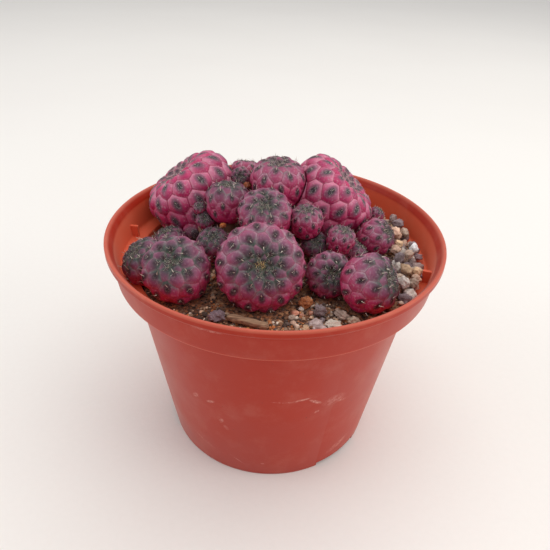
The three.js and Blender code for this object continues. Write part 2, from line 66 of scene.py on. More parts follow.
# The light all round and its strength, and three lamps: their name, place, target and size in metres, power
# and colour.
SKY = ((248, 248, 250), 0.66)
LAMPS = [
    ("key", (0.25, 0.2, 1.25), (0, 0, 0.06), 1.8, 10.0, (255, 252, 248)),
    ("left_window", (-0.9, -0.1, 0.45), (0, 0, 0.05), 0.7, 1.6, (250, 250, 255)),
    ("right_window", (0.9, -0.25, 0.4), (0, 0, 0.05), 0.7, 2.6, (255, 250, 246)),
]
FLOOR_HALF = 6000

# The pot's outline is that of its solid, with its corners rounded.
POT = Values(height=87, lip_radius=60, lip_height=2.8, collar_top=58.5, collar_foot=57.3,
             collar_foot_height=73.8, body_top=52, foot=41.6, wall=1.4, floor_underside=3, foot_ring=2.2)
LEDGE = POT.collar_foot_height + POT.wall
LIP_UNDERSIDE = POT.height - POT.lip_height
FLOOR_TOP = POT.floor_underside + POT.wall
FOOT_INNER = POT.foot - POT.foot_ring
POT_INSET = 0.1
POT_SIDES = 216
POT_SHARPEST = 32
NOTCH = Values(count=3, start=-62, sweep=29, height=2.2, steps=8)
DRAIN = Values(count=6, radius=4, ring=30, middle=5, sides=32)
LUG = Values(turns=(-16, 77, 171, 257), width=1.2, depth=2.4, height=4.6)

SOIL_LEVEL = 74.2
SOIL_EDGE = 50.25
SOIL_GAP = 0.3
HEAP = Values(height=2.6, start=20, end=46)
DRIFT = Values(start=-42, end=36, inner=49, outer=52.5, top=76.8, steps=60)
STONES = Values(smallest=3.2, largest=5.6, squash=0.75, spacing=4.9, reach=54.6, sink=0.1)
STONE_ROWS = [(52.2, -41, 36), (48, -58, 62), (43.5, -72, 100), (38.5, -66, 60)]

# The shape of every head, in shares of its own radius.
SINK_DEPTH = 0.17
SINK_WIDTH = 0.34
FOOT_WIDTH = 0.42
RELIEF = 0.044
SLENDER = 1.5
ARCH = 0.2
YOUNGEST = 0.34
BARE = 0.8
STALK = Values(sides=12, thickness=0.28, thinnest=1, thickest=3.4, depth=5)

# What differs between plum heads, given first, and rosy ones: how deep the grooves are, how soon a tubercle
# bulges, and how far above its middle the areole sits and its half height and half width, in pitches.
GROOVE = (0.038, 0.0247)
BULGE = (2.4, 3.8)
AREOLE_ABOVE = (0.26, 0.08)
AREOLE_HIGH = (0.185, 0.25)
AREOLE_WIDE = (0.11, 0.15)
AREOLE_DENT = 0.008

# How finely a head is made: steps along its outline and its base, the tubercles that each place looks at, and
# the splits of a ball with no radius and those that each millimetre adds.
OUTLINE_STEPS = 160
BASE_STEPS = 19
NEIGHBOURS = 11
SPLITS = (13, 2.75)

# The room that a head keeps to other heads, to the pot's wall and above its lip.
HEAD_ROOM = 0.15
WALL_ROOM = 0.4
LIP_ROOM = 0.5

# A young and a grown tubercle's comb of spines: how many, how steeply they stand and how much that varies,
# how thick they are, their length in pitches, the share of pale ones, and how much a rosy head shortens them.
YOUNG_COMB = Values(spines=9, lift=0.5, lift_varies=0.5, thickness=0.022, length=0.42, pale=0.55, shorter=0)
GROWN_COMB = Values(spines=6, lift=0.25, lift_varies=0.3, thickness=0.03, length=0.27, pale=0.2, shorter=0.45)
YOUNG_UP_TO = 0.72
COMB_LONGEST = 1.3
BACK_SPINE_LONGEST = 1.7
GOLDEN_HEAD = "head_front"
GOLDEN_REACH = 0.16

# From each radius up: the number of grown tubercles round a head, how many sit level with each other, the
# turn from these to the next, and how full the outline is, where 2 is a plain ellipse.
KINDS = [
    (0, 8.7, 2, GOLDEN_TURN / 2, 2.3),
    (7, 9.6, 1, LUCAS_TURN, 2.3),
    (14, 12.3, 1, WIDE_TURN, 2.3),
    (15, 14, 2, GOLDEN_TURN / 2, 2.8),
]

# Each head: its name, the middle of its widest ring, its radius, how far it leans and towards which side, the
# length of its body below the widest ring and the height of its crown above it, both in radii, how far its
# dark young middle reaches, and how rosy it is.
HEADS = [
    ("head_front", (-4.5, -26, 85.4), 14.2, 55, -85, 1, 0.78, 1.3, 0),
    ("head_front_left", (-31.5, -27.5, 84.5), 10.7, 37, -98, 1, 0.75, 1.6, 0),
    ("head_front_middle_right", (18.4, -22, 81), 7.8, 56, -82, 0.9, 0.8, 1.55, 0),
    ("head_front_right", (31.3, -29.5, 83.5), 9.5, 58, -25, 0.9, 0.8, 1.65, 0),
    ("head_far_left", (-43.5, -18.5, 81), 8.3, 40, -155, 0.9, 0.8, 2.0, 0),
    ("head_right_of_middle", (10.5, -4, 92), 5.9, 10, -80, 1.1, 0.8, 1.3, 0.15),
    ("head_small_right", (23, -7.5, 87), 5, 16, -25, 1.1, 0.8, 1.4, 0.15),
    ("head_middle", (-4, -6, 94.9), 9.1, 31, -92, 1.2, 0.66, 1.3, 0.05),
    ("head_left_of_middle", (-17.9, 5, 94.5), 7.9, 5, 90, 1.05, 0.75, 1.7, 0.05),
    ("head_low_left", (-22, -7, 82.5), 6, 28, -92, 1.1, 0.8, 1.8, 0),
    ("head_low_middle", (14, -5.5, 83), 4.8, 50, -82, 1.2, 0.8, 2.1, 0),
    ("head_low_right", (29, -5, 80.5), 4.2, 35, 10, 1.0, 0.8, 2.1, 0),
    ("head_right", (37.5, 2, 83), 6.8, 48, -25, 1.0, 0.8, 1.4, 0.05),
    ("head_left", (-39, 0, 79), 5.9, 15, 180, 0.8, 0.8, 1.9, 0),
    ("head_tiny_left", (-26, 2, 87), 3.4, 45, -85, 1.1, 0.8, 1.7, 0),
    ("head_bud_left", (-28, 3, 91.3), 2.3, 30, -95, 1.1, 0.8, 1.7, 0),
    ("head_tiny_low_left", (-31.5, 5, 80.5), 3.3, 40, -90, 1.2, 0.8, 1.7, 0),
    ("head_back_middle", (0, 11.5, 100), 9.9, 4, -90, 1.0, 0.74, 1.15, 0.3),
    ("head_back_left", (-33.7, 21.5, 89.4), 17.3, 36, 178, 1.1, 0.6, 0.95, 1),
    ("head_back_right", (21.9, 18.2, 91.7), 16.5, 42, 0, 1.2, 0.54, 0.95, 1),
    ("head_tiny_right", (39.5, 18.5, 84), 3, 35, 0, 1.2, 0.8, 1.7, 0),
    ("head_small_back", (-14, 16.5, 98), 3.8, 60, -90, 1.1, 0.8, 1.8, 0.1),
    ("head_behind_small_back", (-13, 26, 96.2), 6, 18, 85, 1.3, 0.8, 1.1, 0.2),
    ("head_rear_middle", (4, 30, 84), 6.8, 35, 90, 1.2, 0.8, 1.3, 0.2),
    ("head_rear_left", (-18, 38, 82), 6.2, 40, 110, 1.0, 0.8, 1.3, 0.2),
    ("head_rear_right", (24, 38, 82.5), 6.4, 40, 75, 1.0, 0.8, 1.3, 0.2),
]

# Larger loose pieces in front: their name, place, size and turn, and the colour of the stone.
LOOSE_STONES = [
    ("stone_violet", (-17, -40.5), (5.4, 4, 3.2), 20, (128, 108, 116)),
    ("stone_orange", (10.5, -31.5), (5, 4.4, 4), -30, (196, 124, 76)),
    ("stone_lava", (15, -36), (4.2, 3.8, 3.8), 65, (138, 120, 122)),
    ("stone_pale", (22, -37), (5.4, 3, 2.8), -35, (186, 164, 150)),
    ("stone_white", (18.5, -42.5), (5.2, 3.8, 3), 15, (212, 200, 186)),
    ("stone_beige", (25.2, -40), (4.6, 3.4, 3), -20, (200, 178, 156)),
]
BARK = Values(at=(-7.5, -42.5), length=14, width=2.6, thickness=2.1, turn=-18, steps=90, sides=20)

# Crumbs of burnt clay that are caught between heads: their middle, size, seed and colour.
CAUGHT_GRIT = [((-18.9, -3.2, 87.8), 2.9, 29, (206, 120, 62)), ((-11.3, 11.4, 97.2), 3.3, 33, (176, 96, 58))]

GRAVEL_COLOURS = [(238, 216, 196), (222, 196, 176), (232, 196, 158), (196, 176, 172), (164, 144, 150),
                  (146, 130, 134), (242, 232, 222), (222, 186, 162), (208, 148, 124), (180, 158, 154)]
GRIT_COLOURS = [(136, 98, 72), (176, 112, 72), (104, 80, 66), (206, 172, 142), (84, 66, 58), (212, 134, 78),
                (160, 128, 104), (226, 210, 192), (124, 104, 98)]

# What is strewn: how many times a place is tried, the smallest and largest size, the colours, the seed, how
# finely each grain is split, and how near to each other they may lie.
GRAVEL = Values(tries=2500, sizes=(1.8, 4.2), colours=GRAVEL_COLOURS, seed=11, splits=4, nearness=0.85)
PILE = Values(tries=900, sizes=(3.7, 6.0), colours=GRAVEL_COLOURS, seed=12, splits=6, nearness=0.88)
GRIT = Values(tries=12000, sizes=(0.6, 2.1), colours=GRIT_COLOURS, seed=13, splits=1, nearness=0.7)

# Skin colours from the tip outwards, first inside a tubercle's cell and then on the net between the cells.
SKIN_INSIDE = [
    (0.0, (58, 66, 50)), (0.06, (38, 46, 40)), (0.13, (52, 54, 54)), (0.19, (80, 58, 70)),
    (0.27, (108, 60, 84)), (0.36, (134, 72, 100)), (0.47, (158, 76, 108)), (0.6, (170, 68, 104)),
    (0.82, (156, 34, 76))]
SKIN_NET = [
    (0.0, (64, 72, 56)), (0.08, (46, 64, 54)), (0.14, (66, 78, 70)), (0.21, (98, 92, 92)),
    (0.29, (132, 108, 118)), (0.38, (162, 120, 136)), (0.5, (178, 110, 134)), (0.66, (178, 78, 110)),
    (0.84, (158, 40, 80))]
# A rosy head's cells and net, each from a tubercle's side nearer the tip, pale as a painted highlight, to its
# far side, then dusky patches and at the tip.
ROSY_INSIDE_HIGHLIT = ((198, 106, 138), (186, 44, 98))
ROSY_NET_HIGHLIT = ((206, 126, 152), (186, 52, 104))
ROSY_DUSK = (144, 72, 104)
ROSY_YOUNG = ((104, 76, 84), (158, 128, 132))
# Colours on plum heads and then on rosy ones.
# The line is the grooves' deep pink, partly painted shade in the creases between tubercles.
GROOVE_LINE_AND_SHADE = ((124, 44, 76), (140, 10, 62))
# The halo is a painted shadow round the sunken areole on plum heads and a grey halo on rosy ones.
AREOLE_HALO_AND_SHADE = ((58, 26, 40), (100, 64, 82))
SKIN_WOOL = ((40, 20, 28), (52, 40, 46))
SKIN_TUFT = ((120, 100, 100), (164, 148, 146))
# Colours on every head.
# The pale rim is patchy waxy bloom and a painted highlight on the side of each cell nearer the tip.
NET_RIM_BLOOM_AND_HIGHLIGHT = (206, 164, 176)
# The crimson underside is the skin's own deeper colour and partly painted shade on faces that turn down.
UNDERSIDE_CRIMSON_AND_SHADE = (172, 8, 80)
CORK = (176, 106, 84)
BLOOM = (206, 186, 190)

PLASTIC = ((160, 33, 8), (174, 42, 14))
# Paler plastic inside the pot above the ledge: painted light.
PLASTIC_INSIDE_PAINTED_LIGHT = (220, 98, 66)
# A painted highlight along the lip's top.
PLASTIC_LIP_HIGHLIGHT = (226, 132, 108)
PLASTIC_DUST = (206, 140, 120)
PLASTIC_SCUFF = (226, 170, 156)
PLASTIC_SPECK = (90, 36, 28)
# Dark pits in the stone, partly painted shade in the hollows of the bump.
STONE_PITS_AND_SHADE = (96, 76, 66)
STONE_GRAINS = (236, 226, 214)
SOIL_TONES = [(0.0, (84, 58, 46)), (0.35, (128, 86, 62)), (0.6, (170, 108, 70)), (0.8, (124, 96, 80)),
              (1.0, (200, 146, 104))]
# Painted shade in the gaps between the crumbs.
SOIL_GAP_SHADE = (40, 30, 27)
BARK_TONES = [(0.3, (88, 62, 48)), (0.5, (146, 112, 86)), (0.7, (176, 146, 118))]

# Pale scuffs on the pot: their direction, height, half width in degrees and half height, how much they climb
# from degree to degree, and how strong they are.
SCUFFS = [
    (-84, 47.2, 6, 0.5, -0.05, 0.5), (-77, 47.8, 4.5, 0.6, 0.12, 0.9), (-71, 45.6, 3.4, 1.1, -0.5, 1.0),
    (-69.5, 39.4, 1.4, 0.8, 0.3, 0.8), (-62, 43.5, 6.5, 3.2, 0.1, 0.4), (-58, 41.6, 3, 0.8, -0.1, 0.7),
    (-122.5, 40.8, 2.2, 1.6, 0.4, 0.7), (-115, 40.9, 2.6, 0.9, 0.3, 0.7), (-111, 31.4, 1.4, 1.6, 0.5, 0.8),
    (-109, 28, 1.6, 1.4, -0.5, 0.45), (-105, 8, 5, 0.4, -0.6, 0.6), (-92, 8, 1.2, 0.6, 0, 0.6),
    (-50, 9, 9, 2.4, 0.3, 0.5), (-108, 83, 6, 0.5, 0, 0.7), (-124, 12, 8, 1.2, -0.3, 0.3),
]


def srgb(red, green, blue):
    """A colour as a screen shows it, 0 to 255, in the linear values that the nodes work with."""
    shares = [value / 255 for value in (red, green, blue)]
    linear = [v / 12.92 if v <= 0.04045 else ((v + 0.055) / 1.055) ** 2.4 for v in shares]
    return (*linear, 1.0)


def between(pair, share):
    return pair[0] + (pair[1] - pair[0]) * share


def smoothstep(value, low, high):
    share = np.clip((value - low) / (high - low), 0, 1)
    return share * share * (3 - 2 * share)


def random_from(seed):
    """A repeatable stream of random numbers from 0 to 1, the same as the one that placed the solids."""
    mask = 0xFFFFFFFF
    state = seed

    def draw():
        nonlocal state
        state = (state + 0x6D2B79F5) & mask
        mixed = ((state ^ (state >> 15)) * (1 | state)) & mask
        mixed = ((mixed + (((mixed ^ (mixed >> 7)) * (61 | mixed)) & mask)) & mask) ^ mixed
        return (mixed ^ (mixed >> 14)) / 4294967296

    return draw


def replayed(values):
    """A stream that gives a list of numbers again."""
    numbers = iter(values)
    return lambda: next(numbers)


# Meshes

def mesh_object(name, corners, faces, materials, material_index=None, smooth=True, colours=None):
    """An object from an array of corners in millimetres and one of triangles, with colour attributes."""
    mesh = bpy.data.meshes.new(name)
    mesh.vertices.add(len(corners))
    mesh.vertices.foreach_set("co", (np.asarray(corners, dtype=np.float32) * MM).ravel())
    mesh.loops.add(3 * len(faces))
    mesh.loops.foreach_set("vertex_index", np.asarray(faces, dtype=np.int32).ravel())
    mesh.polygons.add(len(faces))
    mesh.polygons.foreach_set("loop_start", np.arange(0, 3 * len(faces), 3, dtype=np.int32))
    if material_index is not None:
        mesh.polygons.foreach_set("material_index", np.asarray(material_index, dtype=np.int32))
    flags = np.broadcast_to(np.asarray(smooth, dtype=bool), len(faces))
    mesh.polygons.foreach_set("use_smooth", np.ascontiguousarray(flags))
    for key, values in (colours or {}).items():
        layer = mesh.attributes.new(key, "FLOAT_COLOR", "POINT")
        layer.data.foreach_set("color", np.asarray(values, dtype=np.float32).ravel())
    mesh.update()
    mesh.validate()
    for material in materials:
        mesh.materials.append(material)
    made = bpy.data.objects.new(name, mesh)
    bpy.context.scene.collection.objects.link(made)
    return made


def place_in_frame(piece, slot, *nodes):
    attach(piece, BODY)
    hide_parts(*nodes)


class Heap:
    """Many small closed shapes gathered into one mesh."""

    def __init__(self):
        self.corners, self.faces, self.materials, self.smooth, self.tints = [], [], [], [], []
        self.count = 0

    def add(self, corners, faces, material=0, smooth=True, tint=(0, 0, 0, 1)):
        self.corners.append(corners)
        self.faces.append(np.asarray(faces) + self.count)
        self.materials.append(np.full(len(faces), material))
        self.smooth.append(np.full(len(faces), smooth))
        self.tints.append(np.broadcast_to(np.asarray(tint, dtype=float), (len(corners), 4)))
        self.count += len(corners)

    def arrays(self):
        lists = (self.corners, self.faces, self.materials, self.smooth, self.tints)
        return [np.concatenate(parts) for parts in lists]


def spun(corners, turn):
    cosine, sine = math.cos(math.radians(turn)), math.sin(math.radians(turn))
    return corners @ np.array([[cosine, sine, 0], [-sine, cosine, 0], [0, 0, 1]])


def level_ring(radius, height, sides, middle=(0, 0)):
    turns = np.arange(sides) * FULL_TURN / sides
    x, y = middle[0] + radius * np.cos(turns), middle[1] + radius * np.sin(turns)
    return np.stack([x, y, np.full(sides, float(height))], 1)


def stacked(rings, first, last):
    """A closed body through rings of points, with a point at each end that closes it."""
    rows, sides = np.shape(rings)[:2]
    corners = np.concatenate([np.reshape(rings, (-1, 3)), [first, last]])
    faces = []
    for i in range(sides):
        j = (i + 1) % sides
        faces += [(rows * sides, j, i), (rows * sides + 1, (rows - 1) * sides + i, (rows - 1) * sides + j)]
        for r in range(rows - 1):
            a, b, c, d = r * sides + i, r * sides + j, (r + 1) * sides + j, (r + 1) * sides + i
            faces += [(a, b, c), (a, c, d)]
    return corners, np.array(faces)


def prism(outline, bottom, top):
    """An upright prism over points that run along one side and back along the other."""
    count = len(outline)
    corners = np.array([(x, y, z) for z in (bottom, top) for x, y in outline], dtype=float)
    faces = []
    for i in range(count):
        j = (i + 1) % count
        faces += [(i, count + i, count + j), (i, count + j, j)]
    for i in range(count // 2 - 1):
        a, b, c, d = i, i + 1, count - 2 - i, count - 1 - i
        faces += [(a, b, c), (a, c, d), (count + a, count + c, count + b), (count + a, count + d, count + c)]
    return corners, np.array(faces)


# Balls

GOLDEN_RATIO = (1 + math.sqrt(5)) / 2
ICO_CORNERS = np.array([
    (-1, GOLDEN_RATIO, 0), (1, GOLDEN_RATIO, 0), (-1, -GOLDEN_RATIO, 0), (1, -GOLDEN_RATIO, 0),
    (0, -1, GOLDEN_RATIO), (0, 1, GOLDEN_RATIO), (0, -1, -GOLDEN_RATIO), (0, 1, -GOLDEN_RATIO),
    (GOLDEN_RATIO, 0, -1), (GOLDEN_RATIO, 0, 1), (-GOLDEN_RATIO, 0, -1), (-GOLDEN_RATIO, 0, 1)])
ICO_CORNERS /= np.linalg.norm(ICO_CORNERS[0])
ICO_FACES = [
    (0, 11, 5), (0, 5, 1), (0, 1, 7), (0, 7, 10), (0, 10, 11), (1, 5, 9), (5, 11, 4), (11, 10, 2), (10, 7, 6),
    (7, 1, 8), (3, 9, 4), (3, 4, 2), (3, 2, 6), (3, 6, 8), (3, 8, 9), (4, 9, 5), (2, 4, 11), (6, 2, 10),
    (8, 6, 7), (9, 8, 1)]
# The order in which the corners of the stones' solids were drawn in or out.
ICO_DRAWN = [11, 5, 0, 1, 7, 10, 9, 4, 2, 6, 8, 3]


@cache
def split_ball(splits):
    """The icosahedron with each edge split into equal parts: the weights of its twelve corners at each corner
    of the finer net, and the net's triangles."""
    weights, faces = [], []
    for a, b, c in ICO_FACES:
        start = len(weights)
        at = {}
        for i in range(splits + 1):
            for j in range(splits + 1 - i):
                at[i, j] = start + len(at)
                row = np.zeros(len(ICO_CORNERS))
                row[a], row[b], row[c] = splits - i - j, i, j
                weights.append(row)
        for i in range(splits):
            for j in range(splits - i):
                faces.append((at[i, j], at[i + 1, j], at[i, j + 1]))
                if i + j < splits - 1:
                    faces.append((at[i + 1, j], at[i + 1, j + 1], at[i, j + 1]))
    weights, where = np.unique(np.array(weights), axis=0, return_inverse=True)
    return weights / splits, where.reshape(-1)[np.array(faces)]


def round_ball(splits):
    weights, faces = split_ball(splits)
    points = weights @ ICO_CORNERS
    return points / np.linalg.norm(points, axis=1, keepdims=True), faces


# Materials

class Look:
    """A material in the making: its nodes, its shader and the object's own coordinates in metres. A colour is
    a node's output, or red, green and blue from 0 to 255."""

    def __init__(self, name, **shader_values):
        self.material = bpy.data.materials.new(name)
        self.material.use_nodes = True
        self.tree = self.material.node_tree
        self.shader = self.tree.nodes["Principled BSDF"]
        for key, value in shader_values.items():
            self.shader.inputs[key.replace("_", " ")].default_value = value
        self.place = self.node("TexCoord").outputs["Object"]

    def node(self, kind, values=None, **settings):
        made = self.tree.nodes.new("ShaderNode" + kind)
        for key, value in settings.items():
            setattr(made, key, value)
        for key, value in (values or {}).items():
            if isinstance(value, bpy.types.NodeSocket):
                self.tree.links.new(value, made.inputs[key])
            else:
                made.inputs[key].default_value = value
        return made

    def math(self, operation, *values):
        return self.node("Math", dict(enumerate(values)), operation=operation).outputs[0]

    def times(self, product, *factors):
        for factor in factors:
            product = self.math("MULTIPLY", product, factor)
        return product

    def over(self, value, divisor):
        return self.math("DIVIDE", value, divisor)

    def less(self, value, other):
        return self.math("SUBTRACT", value, other)

    def scaled(self, value, factor, added):
        return self.math("MULTIPLY_ADD", value, factor, added)

    def step(self, value, start, end, to_low=0.0, to_high=1.0):
        """Goes smoothly from one value to another as the first goes from start to end."""
        values = {"Value": value, "From Min": start, "From Max": end, "To Min": to_low, "To Max": to_high}
        return self.node("MapRange", values, interpolation_type="SMOOTHSTEP").outputs[0]

    def mix(self, share, first, second, blend="MIX"):
        first, second = (srgb(*colour) if isinstance(colour, tuple) else colour for colour in (first, second))
        values = {0: share, 6: first, 7: second}
        return self.node("Mix", values, data_type="RGBA", blend_type=blend).outputs[2]

    def ramp(self, value, stops):
        made = self.node("ValToRGB", {0: value})
        elements = made.color_ramp.elements
        while len(elements) < len(stops):
            elements.new(0.5)
        for element, (position, colour) in zip(elements, stops):
            element.position = position
            element.color = srgb(*colour)
        return made.outputs[0]

    def noise(self, scale, detail=2.0, roughness=0.5, place=None):
        values = {"Vector": place or self.place, "Scale": scale, "Detail": detail, "Roughness": roughness}
        return self.node("TexNoise", values).outputs[0]

    def cells(self, scale, **settings):
        return self.node("TexVoronoi", {"Vector": self.place, "Scale": scale}, **settings).outputs

    def attribute(self, name):
        return self.node("Attribute", attribute_name=name, attribute_type="GEOMETRY").outputs

    def parts(self, name):
        """The red, green, blue and alpha parts of a colour attribute."""
        read = self.attribute(name)
        split = self.node("SeparateColor", {0: read["Color"]})
        return [*split.outputs[:3], read["Alpha"]]

    def finish(self, colour, height=None, distance=0.0, strength=1.0, roughness=None):
        """Sets the colour, a bump of a height times a distance in millimetres, and the roughness."""
        self.tree.links.new(colour, self.shader.inputs["Base Color"])
        if roughness is not None:
            self.tree.links.new(roughness, self.shader.inputs["Roughness"])
        if height is not None:
            made = self.node("Bump", {"Height": height, "Distance": distance * MM, "Strength": strength})
            self.tree.links.new(made.outputs[0], self.shader.inputs["Normal"])
        return self.material


def cactus_skin():
    """Dusky plum tubercles with a paler net between them, green-grey at the tip, crimson low on the sides,
    partly painted shade where the skin faces down. On rosy heads pink cells, paler on each tubercle's side
    nearer the tip as a painted highlight, with a grey halo round each dark areole, and a thin deep pink line
    between them that is partly painted groove shade."""
    look = Look("cactus_skin", Roughness=0.5, Subsurface_Weight=0.06, Subsurface_Scale=0.002,
                Specular_IOR_Level=0.35)
    border, areole, chance, offset = look.parts("cell")
    along, rosy, underside_shade, cork = look.parts("place")
    coarse = look.noise(240, 3)
    fine = look.noise(1300, 3)

    # How far out from the tip's colours a place is, which wanders a little and from cell to cell.
    wander = look.scaled(coarse, 0.3, -0.15)
    wander = look.scaled(chance, 0.16, wander)
    wander = look.scaled(look.less(offset, 0.5), 0.4, wander)
    reach = look.times(look.math("ADD", along, wander), 0.5)
    young = look.step(reach, 0.3, 0.18)
    # Grows towards a tubercle's far side from the tip, away from its painted highlight.
    upper = look.step(offset, 0.2, 0.85)

    # The inside of the cells and the net between them; on rosy heads a painted highlight on each tubercle's
    # tip side.
    rosy_inside = look.mix(upper, *ROSY_INSIDE_HIGHLIT)
    rosy_inside = look.mix(look.step(coarse, 0.4, 0.66, 0.05, 0.6), rosy_inside, ROSY_DUSK)
    rosy_inside = look.mix(young, rosy_inside, ROSY_YOUNG[0])
    rosy_net = look.mix(young, look.mix(upper, *ROSY_NET_HIGHLIT), ROSY_YOUNG[1])
    inside = look.mix(rosy, look.ramp(reach, SKIN_INSIDE), rosy_inside)
    net = look.mix(rosy, look.ramp(reach, SKIN_NET), rosy_net)
    ragged = look.scaled(coarse, 0.24, look.less(border, 0.12))
    # The cell's side nearer the tip: the pale net and rim are stronger there as a painted highlight.
    tip_side_highlight = look.step(offset, 1.0, 0.3, 0.3, 1.0)
    skin = look.mix(look.times(look.step(ragged, 0.34, 0.04), tip_side_highlight), inside, net)

    # A pale rim, patchy waxy bloom with a painted highlight on each cell's tip side, a dark line along the
    # net that is partly painted groove shade, and the crimson underside, partly painted shade.
    patchy_bloom_highlight = look.times(look.step(coarse, 0.36, 0.6), tip_side_highlight)
    rim = look.times(look.step(border, 0.14, 0.08), look.step(border, 0.03, 0.07))
    rim = look.times(rim, look.step(along, 0.2, 0.8, 0.06, 0.24), patchy_bloom_highlight)
    skin = look.mix(rim, skin, NET_RIM_BLOOM_AND_HIGHLIGHT)
    # The dark line in the grooves is partly painted shade in the creases.
    line = look.times(look.step(border, 0.07, 0.02), look.step(along, 0.3, 0.8, 0.2, 0.75))
    skin = look.mix(line, skin, look.mix(rosy, *GROOVE_LINE_AND_SHADE))
    # Crimson where the skin faces down, partly painted shade.
    skin = look.mix(look.times(underside_shade, 0.8), skin, UNDERSIDE_CRIMSON_AND_SHADE)

    # The areoles: a halo, on plum heads a dark painted shadow round the sunken areole, and a torn patch of
    # dark wool with paler tufts.
    halo = look.times(look.step(areole, 0.04, 0.5), 0.82)
    skin = look.mix(halo, skin, look.mix(rosy, *AREOLE_HALO_AND_SHADE))
    speck = look.step(look.noise(3000, 1), 0.6, 0.68)
    wool = look.mix(speck, look.mix(rosy, *SKIN_WOOL), look.mix(rosy, *SKIN_TUFT))
    torn = look.scaled(fine, 0.3, look.less(areole, 0.15))
    skin = look.mix(look.step(torn, 0.52, 0.68), skin, wool)

    # Cork low on the large heads, and a pale bloom.
    skin = look.mix(look.times(cork, look.step(coarse, 0.4, 0.6)), skin, CORK)
    bloom = look.times(look.step(fine, 0.5, 0.75), look.step(along, 0.2, 0.9, 0.12, 0.3))
    skin = look.mix(bloom, skin, BLOOM)
    wrinkles = look.step(look.cells(900, feature="DISTANCE_TO_EDGE")[0], 0.0, 0.2)
    height, roughness = look.scaled(wrinkles, 0.3, fine), look.step(coarse, 0.3, 0.7, 0.42, 0.6)
    return look.finish(skin, height, 0.14, 0.6, roughness)


def spine_material(name, dark, light):
    look = Look(name, Roughness=0.55)
    return look.finish(look.mix(look.noise(700), dark, light))


def stalk_material():
    look = Look("corky_stalk", Roughness=0.9)
    grain = look.noise(500, 4)
    return look.finish(look.mix(grain, (120, 84, 62), (178, 140, 110)), grain, 0.3)


def pot_plastic():
    """Terracotta-coloured plastic, paler on the ledge inside as painted light, with a painted highlight along
    the lip's top, dust, specks and a few pale scuffs.
    """
    look = Look("pot_plastic", Roughness=0.42, Sheen_Weight=0.22, Sheen_Roughness=0.34,
                Specular_IOR_Level=0.22, Sheen_Tint=srgb(255, 226, 214))
    x, y, z = look.node("SeparateXYZ", {0: look.place}).outputs
    out = look.math("SQRT", look.scaled(x, x, look.times(y, y)))
    turn = look.times(look.math("ARCTAN2", y, x), 180 / math.pi)
    cloud = look.noise(34, 4)
    colour = look.mix(cloud, *PLASTIC)
    # Paler inside above the ledge: painted light standing in for light coming through the plastic.
    painted_light_inside = look.times(look.step(out, 57.4 * MM, 56.9 * MM), look.step(z, 68 * MM, 74 * MM))
    colour = look.mix(painted_light_inside, colour, PLASTIC_INSIDE_PAINTED_LIGHT)
    # A painted highlight along the top of the lip.
    colour = look.mix(look.step(z, 85.8 * MM, 86.8 * MM, 0.0, 0.4), colour, PLASTIC_LIP_HIGHLIGHT)
    dust = look.step(look.noise(90, 6, 0.65), 0.46, 0.74)
    colour = look.mix(look.times(dust, 0.12), colour, PLASTIC_DUST)
    torn = look.step(look.noise(700, 6, 0.8), 0.38, 0.66)
    outside = look.step(out, 38 * MM, 40 * MM)
    for scuff_turn, scuff_height, wide, high, slope, strength in SCUFFS:
        aside = look.less(turn, scuff_turn)
        level = look.scaled(aside, slope * MM, scuff_height * MM)
        above = look.over(look.less(z, level), high * MM)
        aside = look.over(aside, wide)
        far = look.scaled(above, above, look.times(aside, aside))
        mark = look.times(look.step(far, 1.0, 0.0, 0.0, 0.8 * strength), torn, outside)
        colour = look.mix(mark, colour, PLASTIC_SCUFF)
    speck = look.step(look.noise(950, 1), 0.79, 0.82)
    colour = look.mix(look.times(speck, 0.7), colour, PLASTIC_SPECK)
    return look.finish(colour, look.noise(1400, 2), 0.03, 0.5, look.step(cloud, 0.3, 0.7, 0.36, 0.5))


def stone_material():
    look = Look("stone", Roughness=0.92)
    grain = look.noise(1900, 3, 0.7)
    patch = look.step(look.noise(420, 4, 0.6), 0.35, 0.65)
    shade = look.mix(patch, (206, 200, 198), (255, 255, 255))
    colour = look.mix(1.0, look.attribute("tint")["Color"], shade, "MULTIPLY")
    # Darker in the low pits of the bump: the stone's dark pits and partly painted shade in them.
    colour = look.mix(look.times(look.step(grain, 0.42, 0.32), 0.45), colour, STONE_PITS_AND_SHADE)
    colour = look.mix(look.times(look.step(grain, 0.58, 0.7), 0.35), colour, STONE_GRAINS)
    return look.finish(colour, grain, 0.35, 0.8)


def soil_material():
    look = Look("soil", Roughness=0.97)
    grain = look.cells(900)
    crumb = look.noise(700, 4, 0.65)
    tone = look.node("SeparateColor", {0: grain["Color"]}).outputs[0]
    # Dark where the crumbs' bump is low: painted shade in the gaps between them.
    colour = look.mix(look.step(crumb, 0.5, 0.35), look.ramp(tone, SOIL_TONES), SOIL_GAP_SHADE)
    return look.finish(colour, look.less(crumb, grain["Distance"]), 0.6, 0.9)


def bark_material():
    look = Look("bark", Roughness=0.88)
    values = {"Vector": look.place, "Rotation": (0, 0, math.radians(-BARK.turn)), "Scale": (0.16, 1, 1)}
    streaks = look.noise(1500, 4, 0.6, look.node("Mapping", values).outputs[0])
    return look.finish(look.ramp(streaks, BARK_TONES), streaks, 0.5, 0.9)


def floor_material():
    look = Look("floor_cloth", Roughness=0.9)
    fibre = look.noise(420, 2)
    colour = look.mix(look.noise(3.2, 5), (236, 233, 228), (243, 241, 236))
    colour = look.mix(look.times(fibre, 0.12), colour, (216, 208, 202))
    return look.finish(colour, fibre, 0.2, 0.3)


HEAD_MATERIALS = [
    cactus_skin(),
    spine_material("pale_spine", (196, 180, 156), (238, 230, 216)),
    spine_material("dark_spine", (48, 36, 36), (104, 78, 70)),
    stalk_material(),
    spine_material("golden_spine", (206, 166, 96), (240, 212, 150)),
]
FLESH, PALE, DARK, CORKY, GOLDEN = range(len(HEAD_MATERIALS))
SOIL_MATERIALS = [stone_material(), soil_material()]
STONE, SOIL = range(len(SOIL_MATERIALS))


# Heads

